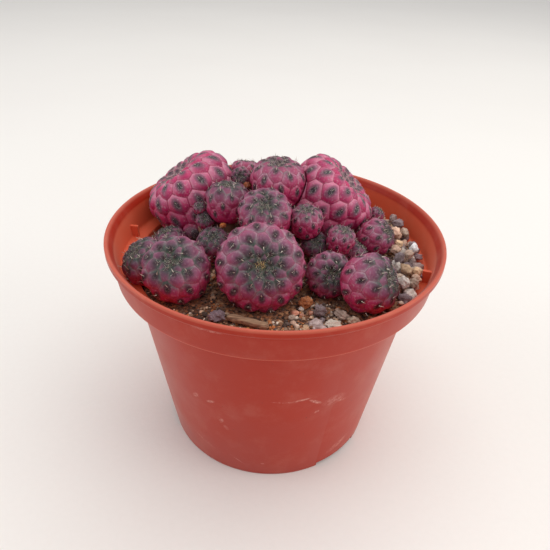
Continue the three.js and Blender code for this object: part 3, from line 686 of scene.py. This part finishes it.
class Head:
    def __init__(self, index, name, at, radius, lean, towards, length, crown, dark, rosy):
        self.index, self.name, self.at = index, name, np.array(at, dtype=float)
        self.radius, self.length, self.crown, self.dark, self.rosy = radius, length, crown, dark, rosy
        lean, towards = math.radians(lean), math.radians(towards)
        tip = Vector((math.cos(towards) * math.sin(lean), math.sin(towards) * math.sin(lean), math.cos(lean)))
        self.turn = np.array(Vector((0, 0, 1)).rotation_difference(tip).to_matrix())
        kind = [row for row in KINDS if radius >= row[0]][-1]
        _, self.ribs, self.level, self.step_turn, self.fullness = kind
        self.outline()

    def outline(self):
        """The outline from the tip to the foot: distance along it, radius, height and outward direction."""
        share = np.sin(np.linspace(0, 1, OUTLINE_STEPS + 1) * math.pi / 2)
        shoulder = (1 - share ** self.fullness) ** (1 / self.fullness)
        top = self.crown * shoulder - SINK_DEPTH * np.exp(-((share / SINK_WIDTH) ** 2))
        upper = np.stack([share, top], 1)
        lower = np.stack([FOOT_WIDTH + (1 - FOOT_WIDTH) * shoulder[1:], -self.length * share[1:]], 1)
        base_radius = FOOT_WIDTH * np.linspace(0.95, 0.05, BASE_STEPS)
        base = np.stack([base_radius, np.full(BASE_STEPS, -self.length)], 1)
        points = np.concatenate([upper, lower, base]) * self.radius
        steps = np.linalg.norm(np.diff(points, axis=0), axis=1)
        self.along = np.concatenate([[0], np.cumsum(steps)])
        self.across, self.height = points.T
        slope = np.gradient(points, axis=0)
        slope /= np.linalg.norm(slope, axis=1, keepdims=True)
        self.out_across, self.out_height = -slope[:, 1], slope[:, 0]
        middles = (points[1:, 0] + points[:-1, 0]) / 2
        self.stretched = np.concatenate([[0, 0], np.cumsum(steps[1:] / middles[1:])])
        self.middle = self.stretched[OUTLINE_STEPS]
        self.polar = np.arctan2(self.across, self.height)
        self.reach = np.hypot(self.across, self.height)

    def on_outline(self, along, *rows):
        return [np.interp(along, self.along, row) for row in rows]

    def along_from(self, down):
        """Where an angle from a ball's pole falls on the outline, so that shapes on the ball are kept."""
        stretched = np.log(np.tan(np.clip(down, 1e-6, math.pi - 1e-6) / 2)) + self.middle
        along = np.interp(stretched, self.stretched[1:], self.along[1:])
        near_tip = self.along[1] * np.exp(np.minimum(stretched, 0))
        return np.where(stretched < 0, near_tip, along)

    def points(self, along, turn, rise=0.0):
        across, height, out_across, out_height = self.on_outline(
            along, self.across, self.height, self.out_across, self.out_height)
        out = across + rise * out_across
        return np.stack([out * np.cos(turn), out * np.sin(turn), height + rise * out_height], -1)

    def directions(self, along, turn):
        """The outward, downward and sideways directions on the surface."""
        out_across, out_height = self.on_outline(along, self.out_across, self.out_height)
        cosine, sine = np.cos(turn), np.sin(turn)
        out = np.stack([out_across * cosine, out_across * sine, out_height], -1)
        down = np.stack([out_height * cosine, out_height * sine, -out_across], -1)
        return out, down, np.stack([-sine, cosine, 0 * sine], -1)

    def age(self, along):
        return YOUNGEST + (1 - YOUNGEST) * smoothstep(along, 0, self.radius)

    def pitch(self, along):
        """The distance from a tubercle to the next."""
        return FULL_TURN * self.radius / self.ribs * self.age(along)

    def rows(self, along):
        """How many tubercles lie between the tip and a place on the outline."""
        steps = np.diff(self.along, prepend=0) / self.pitch(self.along)
        return np.interp(along, self.along, np.cumsum(steps))

    def sites(self):
        """The tubercles: they sit on a spiral, their cells' area further from the tip than the last."""
        step = self.radius / 200
        along = np.arange(step / 2, self.along[-1], step)
        across, height = self.on_outline(along, self.across, self.height)
        filled = np.cumsum(FULL_TURN * across * step / (math.sqrt(3) / 2 * self.pitch(along) ** 2))
        bare = height < -self.radius * BARE
        last = np.argmax(bare) if bare.any() else len(along) - 1
        count = int(filled[last - 1] / self.level + 0.5) * self.level
        rank, place = np.divmod(np.arange(count), self.level)
        found = along[np.searchsorted(filled, (rank + 0.5) * self.level)]
        return found, 2 * self.index + self.step_turn * rank + FULL_TURN * place / self.level

    def to_world(self, points):
        return points @ self.turn.T + self.at

    def depth(self, points):
        """Points in this head's frame, how far each is from its middle, and how far the surface is there."""
        own = (points - self.at) @ self.turn
        across = np.hypot(own[:, 0], own[:, 1])
        surface = np.interp(np.arctan2(across, own[:, 2]), self.polar, self.reach)
        return own, np.maximum(np.hypot(across, own[:, 2]), 1e-6), surface

    def holds(self, points, gap):
        _, far, surface = self.depth(points)
        return bool((far < surface + gap).any())

    def push_out(self, points, gap):
        """Moves points that lie in this head out to its surface."""
        own, far, surface = self.depth(points)
        return self.to_world(own * np.maximum((surface + gap) / far, 1)[:, None])


ALL_HEADS = [Head(index, *row) for index, row in enumerate(HEADS)]


def cells_of(head, along, turn):
    """For places on a head: whose cell each is in, how far it is from the cell's border, and how many pitches
    below and beside the cell's middle."""
    sites_along, sites_turn = head.sites()
    sites = head.points(sites_along, sites_turn)
    _, down, side = head.directions(sites_along, sites_turn)
    points = head.points(along, turn)
    distance = ((points[:, None, :] - sites[None, :, :]) ** 2).sum(-1)
    near = np.argpartition(distance, NEIGHBOURS - 1, axis=1)[:, :NEIGHBOURS]
    offset = points[:, None, :] - sites[near]
    below = (offset * down[near]).sum(-1)
    beside = (offset * side[near]).sum(-1)
    straight = np.maximum((offset ** 2).sum(-1) - below ** 2 - beside ** 2, 0)
    slender = 1 + (SLENDER - 1) * (1 - smoothstep(along / head.radius, 0.35, 1.2))[:, None]
    apart = np.sqrt(below ** 2 / slender + beside ** 2 * slender + straight)
    apart /= np.exp(ARCH * head.rows(sites_along))[near]
    order = np.argsort(apart, axis=1)
    nearest, second = np.take_along_axis(apart, order[:, :2], 1).T
    first = (np.arange(len(points)), order[:, 0])
    pitch = head.pitch(along)
    return near[first], (second - nearest) / (second + nearest), below[first] / pitch, beside[first] / pitch


def relief_of(head, along, turn):
    """For places on a head: how far the surface rises, and the masks of the cells for its colours."""
    own, border, below, beside = cells_of(head, along, turn)
    chance = np.modf(np.abs(np.sin(own * 12.9898 + head.index * 3.1) * 43758.5453))[0]
    low = -head.on_outline(along, head.height)[0]
    fade = smoothstep(low, 1.02 * BARE * head.radius, 0.85 * BARE * head.radius)
    bulge = 1 - (1 - np.clip(border / 0.95, 0, 1)) ** between(BULGE, head.rosy)
    oval = np.hypot((below + between(AREOLE_ABOVE, head.rosy)) / between(AREOLE_HIGH, head.rosy),
                    beside / between(AREOLE_WIDE, head.rosy))
    areole = np.clip(1 - oval / 2, 0, 1)
    rise = RELIEF * bulge * (1 + 0.5 * below) - between(GROOVE, head.rosy) * (1 - bulge)
    rise -= AREOLE_DENT * smoothstep(areole, 0.3, 0.8)
    rise *= head.radius * head.age(along) * fade
    return rise, np.stack([np.clip(border, 0, 1) * fade + (1 - fade), areole * fade, chance, below + 0.5], 1)


def splits_for(radius):
    """How finely a head's net is split, into triangles of about the same size on each head."""
    return int((SPLITS[0] + SPLITS[1] * radius) * (1))


def pot_inner_radius(height):
    foot, top = POT.collar_foot - POT.wall, POT.collar_top - POT.wall
    return foot + (top - foot) * np.clip((height - LEDGE) / (LIP_UNDERSIDE - LEDGE), 0, 1)


def head_body(head):
    net, faces = round_ball(splits_for(head.radius))
    along = head.along_from(np.arccos(np.clip(net[:, 2], -1, 1)))
    turn = np.arctan2(net[:, 1], net[:, 0])
    rise, cell = relief_of(head, along, turn)
    points = head.to_world(head.points(along, turn, rise))

    # It gives way to the heads before it, to the pot's wall and to the soil.
    for _ in range(2):
        for other in ALL_HEADS[:head.index]:
            if np.linalg.norm(other.at - head.at) < 3 * (other.radius + head.radius):
                points = other.push_out(points, other.radius * RELIEF + HEAD_ROOM)
    limit = pot_inner_radius(points[:, 2]) - WALL_ROOM
    out = np.hypot(points[:, 0], points[:, 1])
    inside_pot = (points[:, 2] < POT.height + LIP_ROOM) & (out > limit)
    points[inside_pot, :2] *= (limit / out)[inside_pot, None]
    points[:, 2] = np.maximum(points[:, 2], SOIL_LEVEL + SOIL_GAP)

    # The share of the way out from the tip's colours, and the masks of the crimson underside and the cork.
    share = along / head.radius / head.dark
    facing = (head.directions(along, turn)[0] @ head.turn.T)[:, 2]
    # The crimson underside follows how far the surface faces down, so it is partly painted shade.
    underside_shade = smoothstep(-facing, -0.62, 0.4) * smoothstep(share, 0.25, 0.75)
    low = -head.on_outline(along, head.height)[0]
    cork = smoothstep(low, 0.45 * head.radius, 0.9 * head.radius) * (head.rosy > 0.5)
    place = np.stack([share, np.full(len(share), head.rosy), underside_shade, cork], 1)
    return points, faces, {"cell": cell, "place": place}


def stalk_body(head):
    x, y, top = head.to_world(np.array([[0, 0, -0.6 * head.radius * head.length]]))[0]
    radius = min(max(head.radius * STALK.thickness, STALK.thinnest), STALK.thickest)
    bottom = SOIL_LEVEL - STALK.depth
    rings = [level_ring(radius, height, STALK.sides, (x, y)) for height in (bottom, top)]
    return stacked(rings, (x, y, bottom), (x, y, top))


CONE_FACES = np.array([(0, 1, 3), (1, 2, 3), (2, 0, 3), (0, 2, 1)])


def cone(root, tip, radius, side):
    """A slender three-sided spine."""
    axis = tip - root
    axis = axis / np.linalg.norm(axis)
    first = side - axis * (side @ axis)
    first = first / np.linalg.norm(first)
    second = np.cross(axis, first)
    thirds = (FULL_TURN * k / 3 for k in range(3))
    return np.array([*(root + radius * (math.cos(a) * first + math.sin(a) * second) for a in thirds), tip])


def comb_spine(head, comb, place, pitch, draw):
    """How far a comb's spine spreads sideways, downwards and outwards, its thickness, length and material."""
    spread = (place + 0.5 + 0.6 * (draw() - 0.5)) / comb.spines * FULL_TURN
    lift = (comb.lift + comb.lift_varies * draw()) * (1 - 0.5 * head.rosy)
    thickness = comb.thickness + 0.02 * draw() + 0.0015 * head.radius
    length = (0.8 + 0.8 * draw()) * min(comb.length * pitch, COMB_LONGEST)
    length *= 1 - comb.shorter * head.rosy
    kind = PALE if draw() < comb.pale else DARK
    return math.sin(spread), 0.75 * math.cos(spread) + 0.25, lift, thickness, length, kind


def back_spine(head, pitch, draw):
    """The same for the one stronger pale spine that points down a grown tubercle's back."""
    sideways = 0.35 * (draw() - 0.5)
    thickness = 0.095 + 0.004 * head.radius + 0.03 * draw()
    length = (0.8 + 0.6 * draw()) * min(0.33 * pitch, BACK_SPINE_LONGEST) * (1 - 0.5 * head.rosy)
    return sideways, -0.9, 0.25 + 0.25 * draw(), thickness, length, PALE


def spines_of(head, heap, draw):
    """Short spines that spread comb-like from each areole, paler and more crowded at the tip, with a golden
    cluster at the tip of the front head."""
    others = [other for other in ALL_HEADS if other is not head
              and np.linalg.norm(other.at - head.at) < 1.3 * (other.radius + head.radius) + 3]
    sites_along, sites_turn = head.sites()
    rows = zip(sites_along, sites_turn, head.age(sites_along), head.pitch(sites_along),
               *head.directions(sites_along, sites_turn))
    for along, turn, age, pitch, out, down, side in rows:
        young = age < YOUNG_UP_TO
        comb = YOUNG_COMB if young else GROWN_COMB
        areole_along = max(along - between(AREOLE_ABOVE, head.rosy) * pitch, 0.02)
        areole = head.points(areole_along, turn, head.radius * age * RELIEF * 0.7)
        for place in range(comb.spines + (0 if young else 1)):
            spine = comb_spine(head, comb, place, pitch, draw)
            if place == comb.spines:
                spine = back_spine(head, pitch, draw)
            sideways, downward, lift, thickness, length, kind = spine
            if head.name == GOLDEN_HEAD and along < GOLDEN_REACH * head.radius:
                thickness, kind = thickness * 1.5, GOLDEN
            spread = side * sideways + down * downward
            direction = spread / max(np.linalg.norm(spread), 1e-6) + lift * out
            direction /= np.linalg.norm(direction)
            foot = areole + (0.05 + 0.08 * draw()) * pitch * (side * sideways * 0.6 + down * downward)
            ends = head.to_world(np.array([foot - 0.25 * out, foot + length * direction]))
            if ends[:, 2].min() < SOIL_LEVEL + 0.5 or any(other.holds(ends, 0.1) for other in others):
                continue
            heap.add(cone(*ends, thickness, side @ head.turn.T), CONE_FACES, kind, False)


def make_heads():
    for head in ALL_HEADS:
        heap = Heap()
        points, faces, masks = head_body(head)
        heap.add(points, faces, FLESH)
        heap.add(*stalk_body(head), CORKY)
        spines_of(head, heap, random_from(100 + head.index))
        corners, triangles, materials, smooth, _ = heap.arrays()
        rest = np.tile([1.0, 0, 0.5, 0.5], (len(corners) - len(points), 1))
        masks = {key: np.concatenate([rows, rest]) for key, rows in masks.items()}
        name = head.name + "_flesh"
        made = mesh_object(name, corners, triangles, HEAD_MATERIALS, materials, smooth, masks)
        place_in_frame(made, "cactus_skin", head.name)


# Pot

def rounded(profile, steps=3):
    """Replaces each [radius, height, rounding] corner with a short arc."""
    made = []
    for i, (radius, height, rounding) in enumerate(profile):
        here = np.array([radius, height])
        if rounding == 0:
            made.append(here)
            continue
        before, after = np.array(profile[i - 1][:2]), np.array(profile[i + 1][:2])
        reach = min(rounding, 0.45 * np.linalg.norm(before - here), 0.45 * np.linalg.norm(after - here))
        start = here + (before - here) / np.linalg.norm(before - here) * reach
        end = here + (after - here) / np.linalg.norm(after - here) * reach
        for k in range(steps + 1):
            t = k / steps
            made.append((1 - t) ** 2 * start + 2 * t * (1 - t) * here + t * t * end)
    return made


def lathe(profile, sides):
    """A body of revolution from [radius, height] points; the first and last lie on the axis."""
    rings = [level_ring(radius, height, sides) for radius, height in profile[1:-1]]
    return stacked(rings, (0, 0, profile[0][1]), (0, 0, profile[-1][1]))


def body_inner(height):
    return POT.foot + (POT.body_top - POT.foot) * height / POT.collar_foot_height - POT.wall


def combined(target, name, tool, operation):
    """Joins a tool's corners and faces to the target or cuts them away."""
    tool = mesh_object(name, *tool, [])
    step = target.modifiers.new("cut", "BOOLEAN")
    step.operation, step.object, step.solver = operation, tool, "EXACT"
    done = bpy.data.meshes.new_from_object(target.evaluated_get(bpy.context.evaluated_depsgraph_get()))
    target.modifiers.remove(step)
    old = target.data
    target.data = done
    bpy.data.meshes.remove(old)
    bpy.data.objects.remove(tool)


def notch_tool(start):
    turns = [math.radians(start + NOTCH.sweep * k / NOTCH.steps) for k in range(NOTCH.steps + 1)]
    sides = ((FOOT_INNER - 1, turns), (POT.foot + 5, turns[::-1]))
    return prism([(r * math.cos(t), r * math.sin(t)) for r, row in sides for t in row], -2, NOTCH.height)


def drain_tool(radius, out, turn):
    bottom, top = -1, FLOOR_TOP + 1
    rings = [level_ring(radius, height, DRAIN.sides, (out, 0)) for height in (bottom, top)]
    corners, faces = stacked(rings, (out, 0, bottom), (out, 0, top))
    return spun(corners, turn), faces


def lug_tool(turn):
    outer, inner = POT.collar_foot - POT.wall / 2, POT.collar_foot - POT.wall - LUG.depth
    half = LUG.width / 2
    corners, faces = prism([(inner, -half), (inner, half), (outer, half), (outer, -half)],
                           LEDGE - 0.5, LEDGE + LUG.height)
    return spun(corners, turn), faces


def make_pot():
    height, wall = POT.height, POT.wall
    profile = rounded([
        (0, POT.floor_underside, 0), (FOOT_INNER, POT.floor_underside, 0.5), (FOOT_INNER, 0, 0.3),
        (POT.foot - POT_INSET, 0, 0.6), (POT.body_top, POT.collar_foot_height, 0.5),
        (POT.collar_foot - POT_INSET, POT.collar_foot_height, 0.7),
        (POT.collar_top, LIP_UNDERSIDE - 0.5, 0.5), (POT.lip_radius, LIP_UNDERSIDE + 0.4, 0.5),
        (POT.lip_radius, height, 0.9), (POT.lip_radius - 1.0, height, 0.5),
        (POT.collar_top - wall, LIP_UNDERSIDE, 0.8), (POT.collar_foot - wall, LEDGE, 0.8),
        (POT.body_top - wall, LEDGE, 0.5), (body_inner(FLOOR_TOP), FLOOR_TOP, 0.6), (0, FLOOR_TOP, 0)])
    pot = mesh_object("pot_shell", *lathe(profile, POT_SIDES), [pot_plastic()])
    for i in range(NOTCH.count):
        combined(pot, "notch", notch_tool(NOTCH.start + 360 / NOTCH.count * i), "DIFFERENCE")
    for i in range(DRAIN.count):
        turn = NOTCH.start + NOTCH.sweep / 2 + 360 / DRAIN.count * i
        combined(pot, "drain", drain_tool(DRAIN.radius, DRAIN.ring, turn), "DIFFERENCE")
    combined(pot, "drain", drain_tool(DRAIN.middle, 0, 0), "DIFFERENCE")
    for turn in LUG.turns:
        combined(pot, "lug", lug_tool(turn), "UNION")
    mesh = pot.data
    mesh.polygons.foreach_set("material_index", np.zeros(len(mesh.polygons), dtype=np.int32))
    mesh.polygons.foreach_set("use_smooth", np.ones(len(mesh.polygons), dtype=bool))
    mesh.set_sharp_from_angle(angle=math.radians(POT_SHARPEST))
    place_in_frame(pot, "pot_plastic", "pot")


# Soil and gravel

def heap_at(x):
    return HEAP.height * smoothstep(x, HEAP.start, HEAP.end)


def room_at(x, y):
    """How far a place on the ground lies outside the nearest head's widest ring."""
    return np.min([np.hypot(x - head.at[0], y - head.at[1]) - head.radius for head in ALL_HEADS], axis=0)


def ground_at(x, y):
    """The height of the soil, a little uneven and clear of the heads' undersides."""
    places = list(zip(np.ravel(x), np.ravel(y)))
    rough = [noise.noise(Vector((0.22 * a, 0.22 * b, 3.1))) for a, b in places]
    fine = [0.5 * noise.noise(Vector((0.7 * a, 0.7 * b, 9.4))) for a, b in places]
    rise = heap_at(x) + 0.5 * np.reshape(np.add(rough, fine), np.shape(x)) + 0.25
    return SOIL_LEVEL + smoothstep(room_at(x, y), 0, 4) * rise


def soil_body():
    rows, sides = ((100, 280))
    radii = SOIL_EDGE * np.linspace(1, 0, rows + 1)[:-1]
    turns = np.arange(sides) * FULL_TURN / sides
    x, y = radii[:, None] * np.cos(turns), radii[:, None] * np.sin(turns)
    z = ground_at(x, y)
    z[0] = SOIL_LEVEL - 0.4
    floor = FLOOR_TOP + SOIL_GAP
    bottom = level_ring(body_inner(floor) - SOIL_GAP, floor, sides)
    rings = np.concatenate([bottom[None], np.stack([x, y, z], -1)])
    return stacked(rings, (0, 0, floor), (0, 0, SOIL_LEVEL))


def drift_body():
    """The low bed of spilled gravel on the pot's ledge, with an uneven outer edge."""
    count = DRIFT.steps + 1
    turns = np.radians(np.linspace(DRIFT.start, DRIFT.end, count))
    outer = DRIFT.outer + 0.6 * np.array([noise.noise(Vector((t * 9, 0, 4.2))) for t in turns])
    bottom, top = LEDGE + SOIL_GAP, DRIFT.top
    rows = [(DRIFT.inner, bottom), (outer, bottom), (outer, top - 0.6), (outer - 0.8, top),
            (DRIFT.inner, top)]
    corners = np.concatenate([
        np.stack([r * np.cos(turns), r * np.sin(turns), np.full(count, z)], 1) for r, z in rows])
    faces = []
    for i in range(count - 1):
        for r in range(len(rows)):
            a, b = r * count + i, (r + 1) % len(rows) * count + i
            faces += [(a + 1, a, b + 1), (b + 1, a, b)]
    ends = [r * count for r in range(len(rows))]
    for k in range(1, len(rows) - 1):
        faces.append((ends[0], ends[k + 1], ends[k]))
        faces.append((ends[0] + count - 1, ends[k] + count - 1, ends[k + 1] + count - 1))
    return corners, np.array(faces)


def drawn_reach(draw):
    """How far each of a stone's twelve corners is drawn in or out."""
    reach = np.zeros(len(ICO_CORNERS))
    for corner in ICO_DRAWN:
        reach[corner] = 0.82 + 0.36 * draw()
    return reach


def sized(points, size, turn, draw):
    """A stone of unit size brought to its size, tilted a little and turned."""
    tilt = 0.5 * (draw() - 0.5)
    cosine, sine = math.cos(tilt), math.sin(tilt)
    return spun(points * np.array(size) @ np.array([[1, 0, 0], [0, cosine, sine], [0, -sine, cosine]]), turn)


def stone_body(size, turn, draw, splits, roundness, seed):
    """A broken stone: the icosahedron's corners drawn in or out, its facets rounded and roughened."""
    reach = drawn_reach(draw)
    weights, faces = split_ball(splits)
    flat = weights @ (ICO_CORNERS * reach[:, None]) * 0.5
    ball = round_ball(splits)[0] * (weights @ reach)[:, None] * 0.5
    points = flat + roundness * (ball - flat)
    if splits > 1:
        shift = Vector((seed, 0.3 * seed, 0))
        grain = [1 + 0.34 * noise.noise(Vector(p) * 3.5 + shift) + 0.2 * noise.noise(Vector(p) * 9 + shift)
                 for p in points]
        points = points * np.array(grain)[:, None]
    return sized(points, size, turn, draw), faces


def colour_from(palette, draw):
    base = palette[int(draw() * len(palette)) % len(palette)]
    light = 0.85 + 0.3 * draw()
    return srgb(*[min(255, value * light) for value in base])


def soil_solid_corners():
    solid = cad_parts["soil"]
    matrix = np.array(solid.matrix_world)
    corners = np.array([corner.co for corner in solid.data.vertices])
    return (corners @ matrix[:3, :3].T + matrix[:3, 3]) / MM


def add_large_gravel(heap):
    """The larger stones of the gravel, where the soil's solid has a corner at the top of the same stone."""
    draw, tint_draw = random_from(31), random_from(77)
    solid = soil_solid_corners()
    kept = []
    for row_radius, start, end in STONE_ROWS:
        step = math.degrees(STONES.spacing / row_radius)
        turn = start
        while turn <= end:
            size = STONES.smallest + (STONES.largest - STONES.smallest) * draw()
            width = size * (0.7 + 0.25 * draw())
            spin = 360 * draw()
            values = [draw() for _ in range(13)]
            out = min(row_radius + 1.6 * (draw() - 0.5), STONES.reach - size / 2)
            place = math.radians(turn + step * 0.5 * (draw() - 0.5))
            turn += step
            x, y = out * math.cos(place), out * math.sin(place)
            bed = DRIFT.top if row_radius > DRIFT.inner else SOIL_LEVEL + heap_at(x)
            at = np.array([x, y, bed + STONES.sink * size])
            shape = (size, width, size * STONES.squash)
            stream = replayed(values)
            corners = sized(ICO_CORNERS * drawn_reach(stream)[:, None] * 0.5, shape, spin, stream) + at
            top = corners[corners[:, 2].argmax()]
            if not (np.abs(solid - top).max(1) < 0.05).any():
                continue
            points, faces = stone_body(shape, spin, replayed(values), 5, 0.5, len(kept))
            heap.add(points + at, faces, STONE, True, colour_from(GRAVEL_COLOURS, tint_draw))
            kept.append((x, y, size))
    return kept


def scatter(heap, kind, accepts, height_at, kept, share=1.0):
    """Small stones or grains strewn over the ground where a rule accepts them."""
    draw = random_from(kind.seed)
    smallest, largest = kind.sizes
    fine = kind.splits == 1
    for _ in range(int(kind.tries * share)):
        out, turn = 56 * math.sqrt(draw()), FULL_TURN * draw()
        x, y = out * math.cos(turn), out * math.sin(turn)
        size = smallest + (largest - smallest) * draw() ** 1.6
        stream = replayed([draw() for _ in range(16)])
        if not accepts(x, y, size):
            continue
        near = 0.4 * kind.nearness
        if any((x - a) ** 2 + (y - b) ** 2 < (near * (size + other)) ** 2 for a, b, other in kept):
            continue
        shape = (size, size * (0.6 + 0.35 * stream()), size * (0.55 + 0.3 * stream()))
        points, faces = stone_body(shape, 360 * stream(), stream, kind.splits, 0.45, x)
        at = np.array([x, y, height_at(x, y) + (0.3 if fine else 0.42) * shape[2]])
        heap.add(points + at, faces, STONE, not fine, colour_from(kind.colours, draw))
        if not fine:
            kept.append((x, y, size))


def bed_height(x, y):
    if math.hypot(x, y) > SOIL_EDGE - 0.8:
        return DRIFT.top
    return SOIL_LEVEL + float(heap_at(x)) + 0.2


def pile_height(x, y):
    return bed_height(x, y) + 2.2


def on_right(x, y, size):
    out, turn = math.hypot(x, y), math.degrees(math.atan2(y, x))
    ledge = DRIFT.start < turn < DRIFT.end and out < DRIFT.outer + 1
    soil = 28 < out < SOIL_EDGE - size / 2 and -82 < turn < 95
    return (ledge or soil) and room_at(x, y) > size / 2 - 0.5


def on_pile(x, y, size):
    return x > 33 and -34 < y < 34 and math.hypot(x, y) < DRIFT.outer and room_at(x, y) > size / 2 - 1.2


def anywhere(x, y, size):
    return math.hypot(x, y) < SOIL_EDGE - size / 2 and room_at(x, y) > size / 2 - 0.4


def make_soil():
    heap = Heap()
    heap.add(*soil_body(), SOIL)
    heap.add(*drift_body(), SOIL)
    kept = add_large_gravel(heap)

    # The strewn gravel keeps clear of the loose stones and the bark chip too.
    kept += [(x, y, size[0]) for _, (x, y), size, _, _ in LOOSE_STONES]
    bark = [(share * BARK.length, 0, 0) for share in (-0.4, -0.2, 0, 0.2, 0.4)]
    for x, y, _ in spun(np.array(bark), BARK.turn) + [*BARK.at, 0]:
        kept.append((x, y, BARK.width))
    for at, size, seed, colour in CAUGHT_GRIT:
        points, faces = stone_body((size, 0.8 * size, 0.7 * size), 40, random_from(seed), 4, 0.45, at[0])
        heap.add(points + np.array(at), faces, STONE, True, srgb(*colour))
    scatter(heap, GRAVEL, on_right, bed_height, kept)
    scatter(heap, PILE, on_pile, pile_height, [])
    scatter(heap, GRIT, anywhere, bed_height, kept, 1.0)
    corners, faces, materials, smooth, tints = heap.arrays()
    made = mesh_object("gritty_soil", corners, faces, SOIL_MATERIALS, materials, smooth, {"tint": tints})
    place_in_frame(made, "gritty_soil", "soil")


# Loose stones and bark

def make_loose_stones():
    draw = random_from(5)
    for index, (name, at, size, turn, colour) in enumerate(LOOSE_STONES):
        points, faces = stone_body(size, turn, draw, 14, 0.4, index * 7.3)
        low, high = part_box(name)
        middle = (low[2] + high[2]) / 2 / MM
        points = points + np.array([*at, middle - (points[:, 2].max() + points[:, 2].min()) / 2])
        tint = np.tile(srgb(*colour), (len(points), 1))
        made = mesh_object(name + "_rough", points, faces, [SOIL_MATERIALS[STONE]], colours={"tint": tint})
        place_in_frame(made, name, name)


def make_bark():
    """A flat chip of bark: a bar with an uneven outline and a furrowed top."""
    rings = []
    for i in range(BARK.steps + 1):
        s = i / BARK.steps * 2 - 1
        half = BARK.width / 2 * (1 - abs(s) ** 6) ** 0.5 * (1 + 0.18 * noise.noise(Vector((s * 3, 0, 0))))
        thick = BARK.thickness / 2 * (1 - abs(s) ** 8) ** 0.5 * 0.9
        ring = []
        for j in range(BARK.sides):
            angle = FULL_TURN * j / BARK.sides
            y = half * math.copysign(abs(math.cos(angle)) ** 0.6, math.cos(angle))
            z = thick * math.copysign(abs(math.sin(angle)) ** 0.6, math.sin(angle))
            z += 0.16 * noise.noise(Vector((s * 2.2, y * 2.6, z))) * (1 if z > 0 else 0.3)
            ring.append((s * BARK.length / 2, y, z))
        rings.append(ring)
    corners, faces = stacked(rings, np.mean(rings[0], axis=0), np.mean(rings[-1], axis=0))
    low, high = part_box("bark_chip")
    corners = spun(corners, BARK.turn) + np.array([*BARK.at, (low[2] + high[2]) / 2 / MM])
    place_in_frame(mesh_object("bark_chip_rough", corners, faces, [bark_material()]), "bark", "bark_chip")


# Stage

def add_lamp(name, at, target, size, power, colour):
    light = bpy.data.lights.new(name, "AREA")
    light.shape, light.size, light.energy = "DISK", size, power
    light.color = srgb(*colour)[:3]
    made = bpy.data.objects.new(name, light)
    made.location = at
    made.rotation_euler = (Vector(target) - Vector(at)).to_track_quat("-Z", "Y").to_euler()
    bpy.context.scene.collection.objects.link(made)


def make_stage():
    half = FLOOR_HALF
    corners = np.array([(-half, -half, 0), (half, -half, 0), (half, half, 0), (-half, half, 0)], dtype=float)
    mesh_object("floor", corners, np.array([(0, 1, 2), (0, 2, 3)]), [floor_material()])
    scene = bpy.context.scene
    world = bpy.data.worlds.new("studio")
    scene.world = world
    world.use_nodes = True
    colour, strength = world.node_tree.nodes["Background"].inputs[:2]
    colour.default_value, strength.default_value = srgb(*SKY[0]), SKY[1]
    for lamp in LAMPS:
        add_lamp(*lamp)
    camera = bpy.data.objects.new("camera", bpy.data.cameras.new("camera"))
    camera.data.lens, camera.data.sensor_width = CAMERA_LENS, CAMERA_SENSOR
    camera.data.clip_start, camera.data.clip_end = 0.01, 100
    axes = zip(CAMERA_RIGHT, CAMERA_UP, CAMERA_FORWARD, CAMERA_AT)
    rows = [(right, up, -forward, at * MM) for right, up, forward, at in axes]
    camera.matrix_world = Matrix([*rows, (0, 0, 0, 1)])
    scene.collection.objects.link(camera)
    scene.camera = camera
    scene.view_settings.view_transform = "Standard"


make_stage()
make_pot()
make_heads()
make_soil()
make_loose_stones()
make_bark()
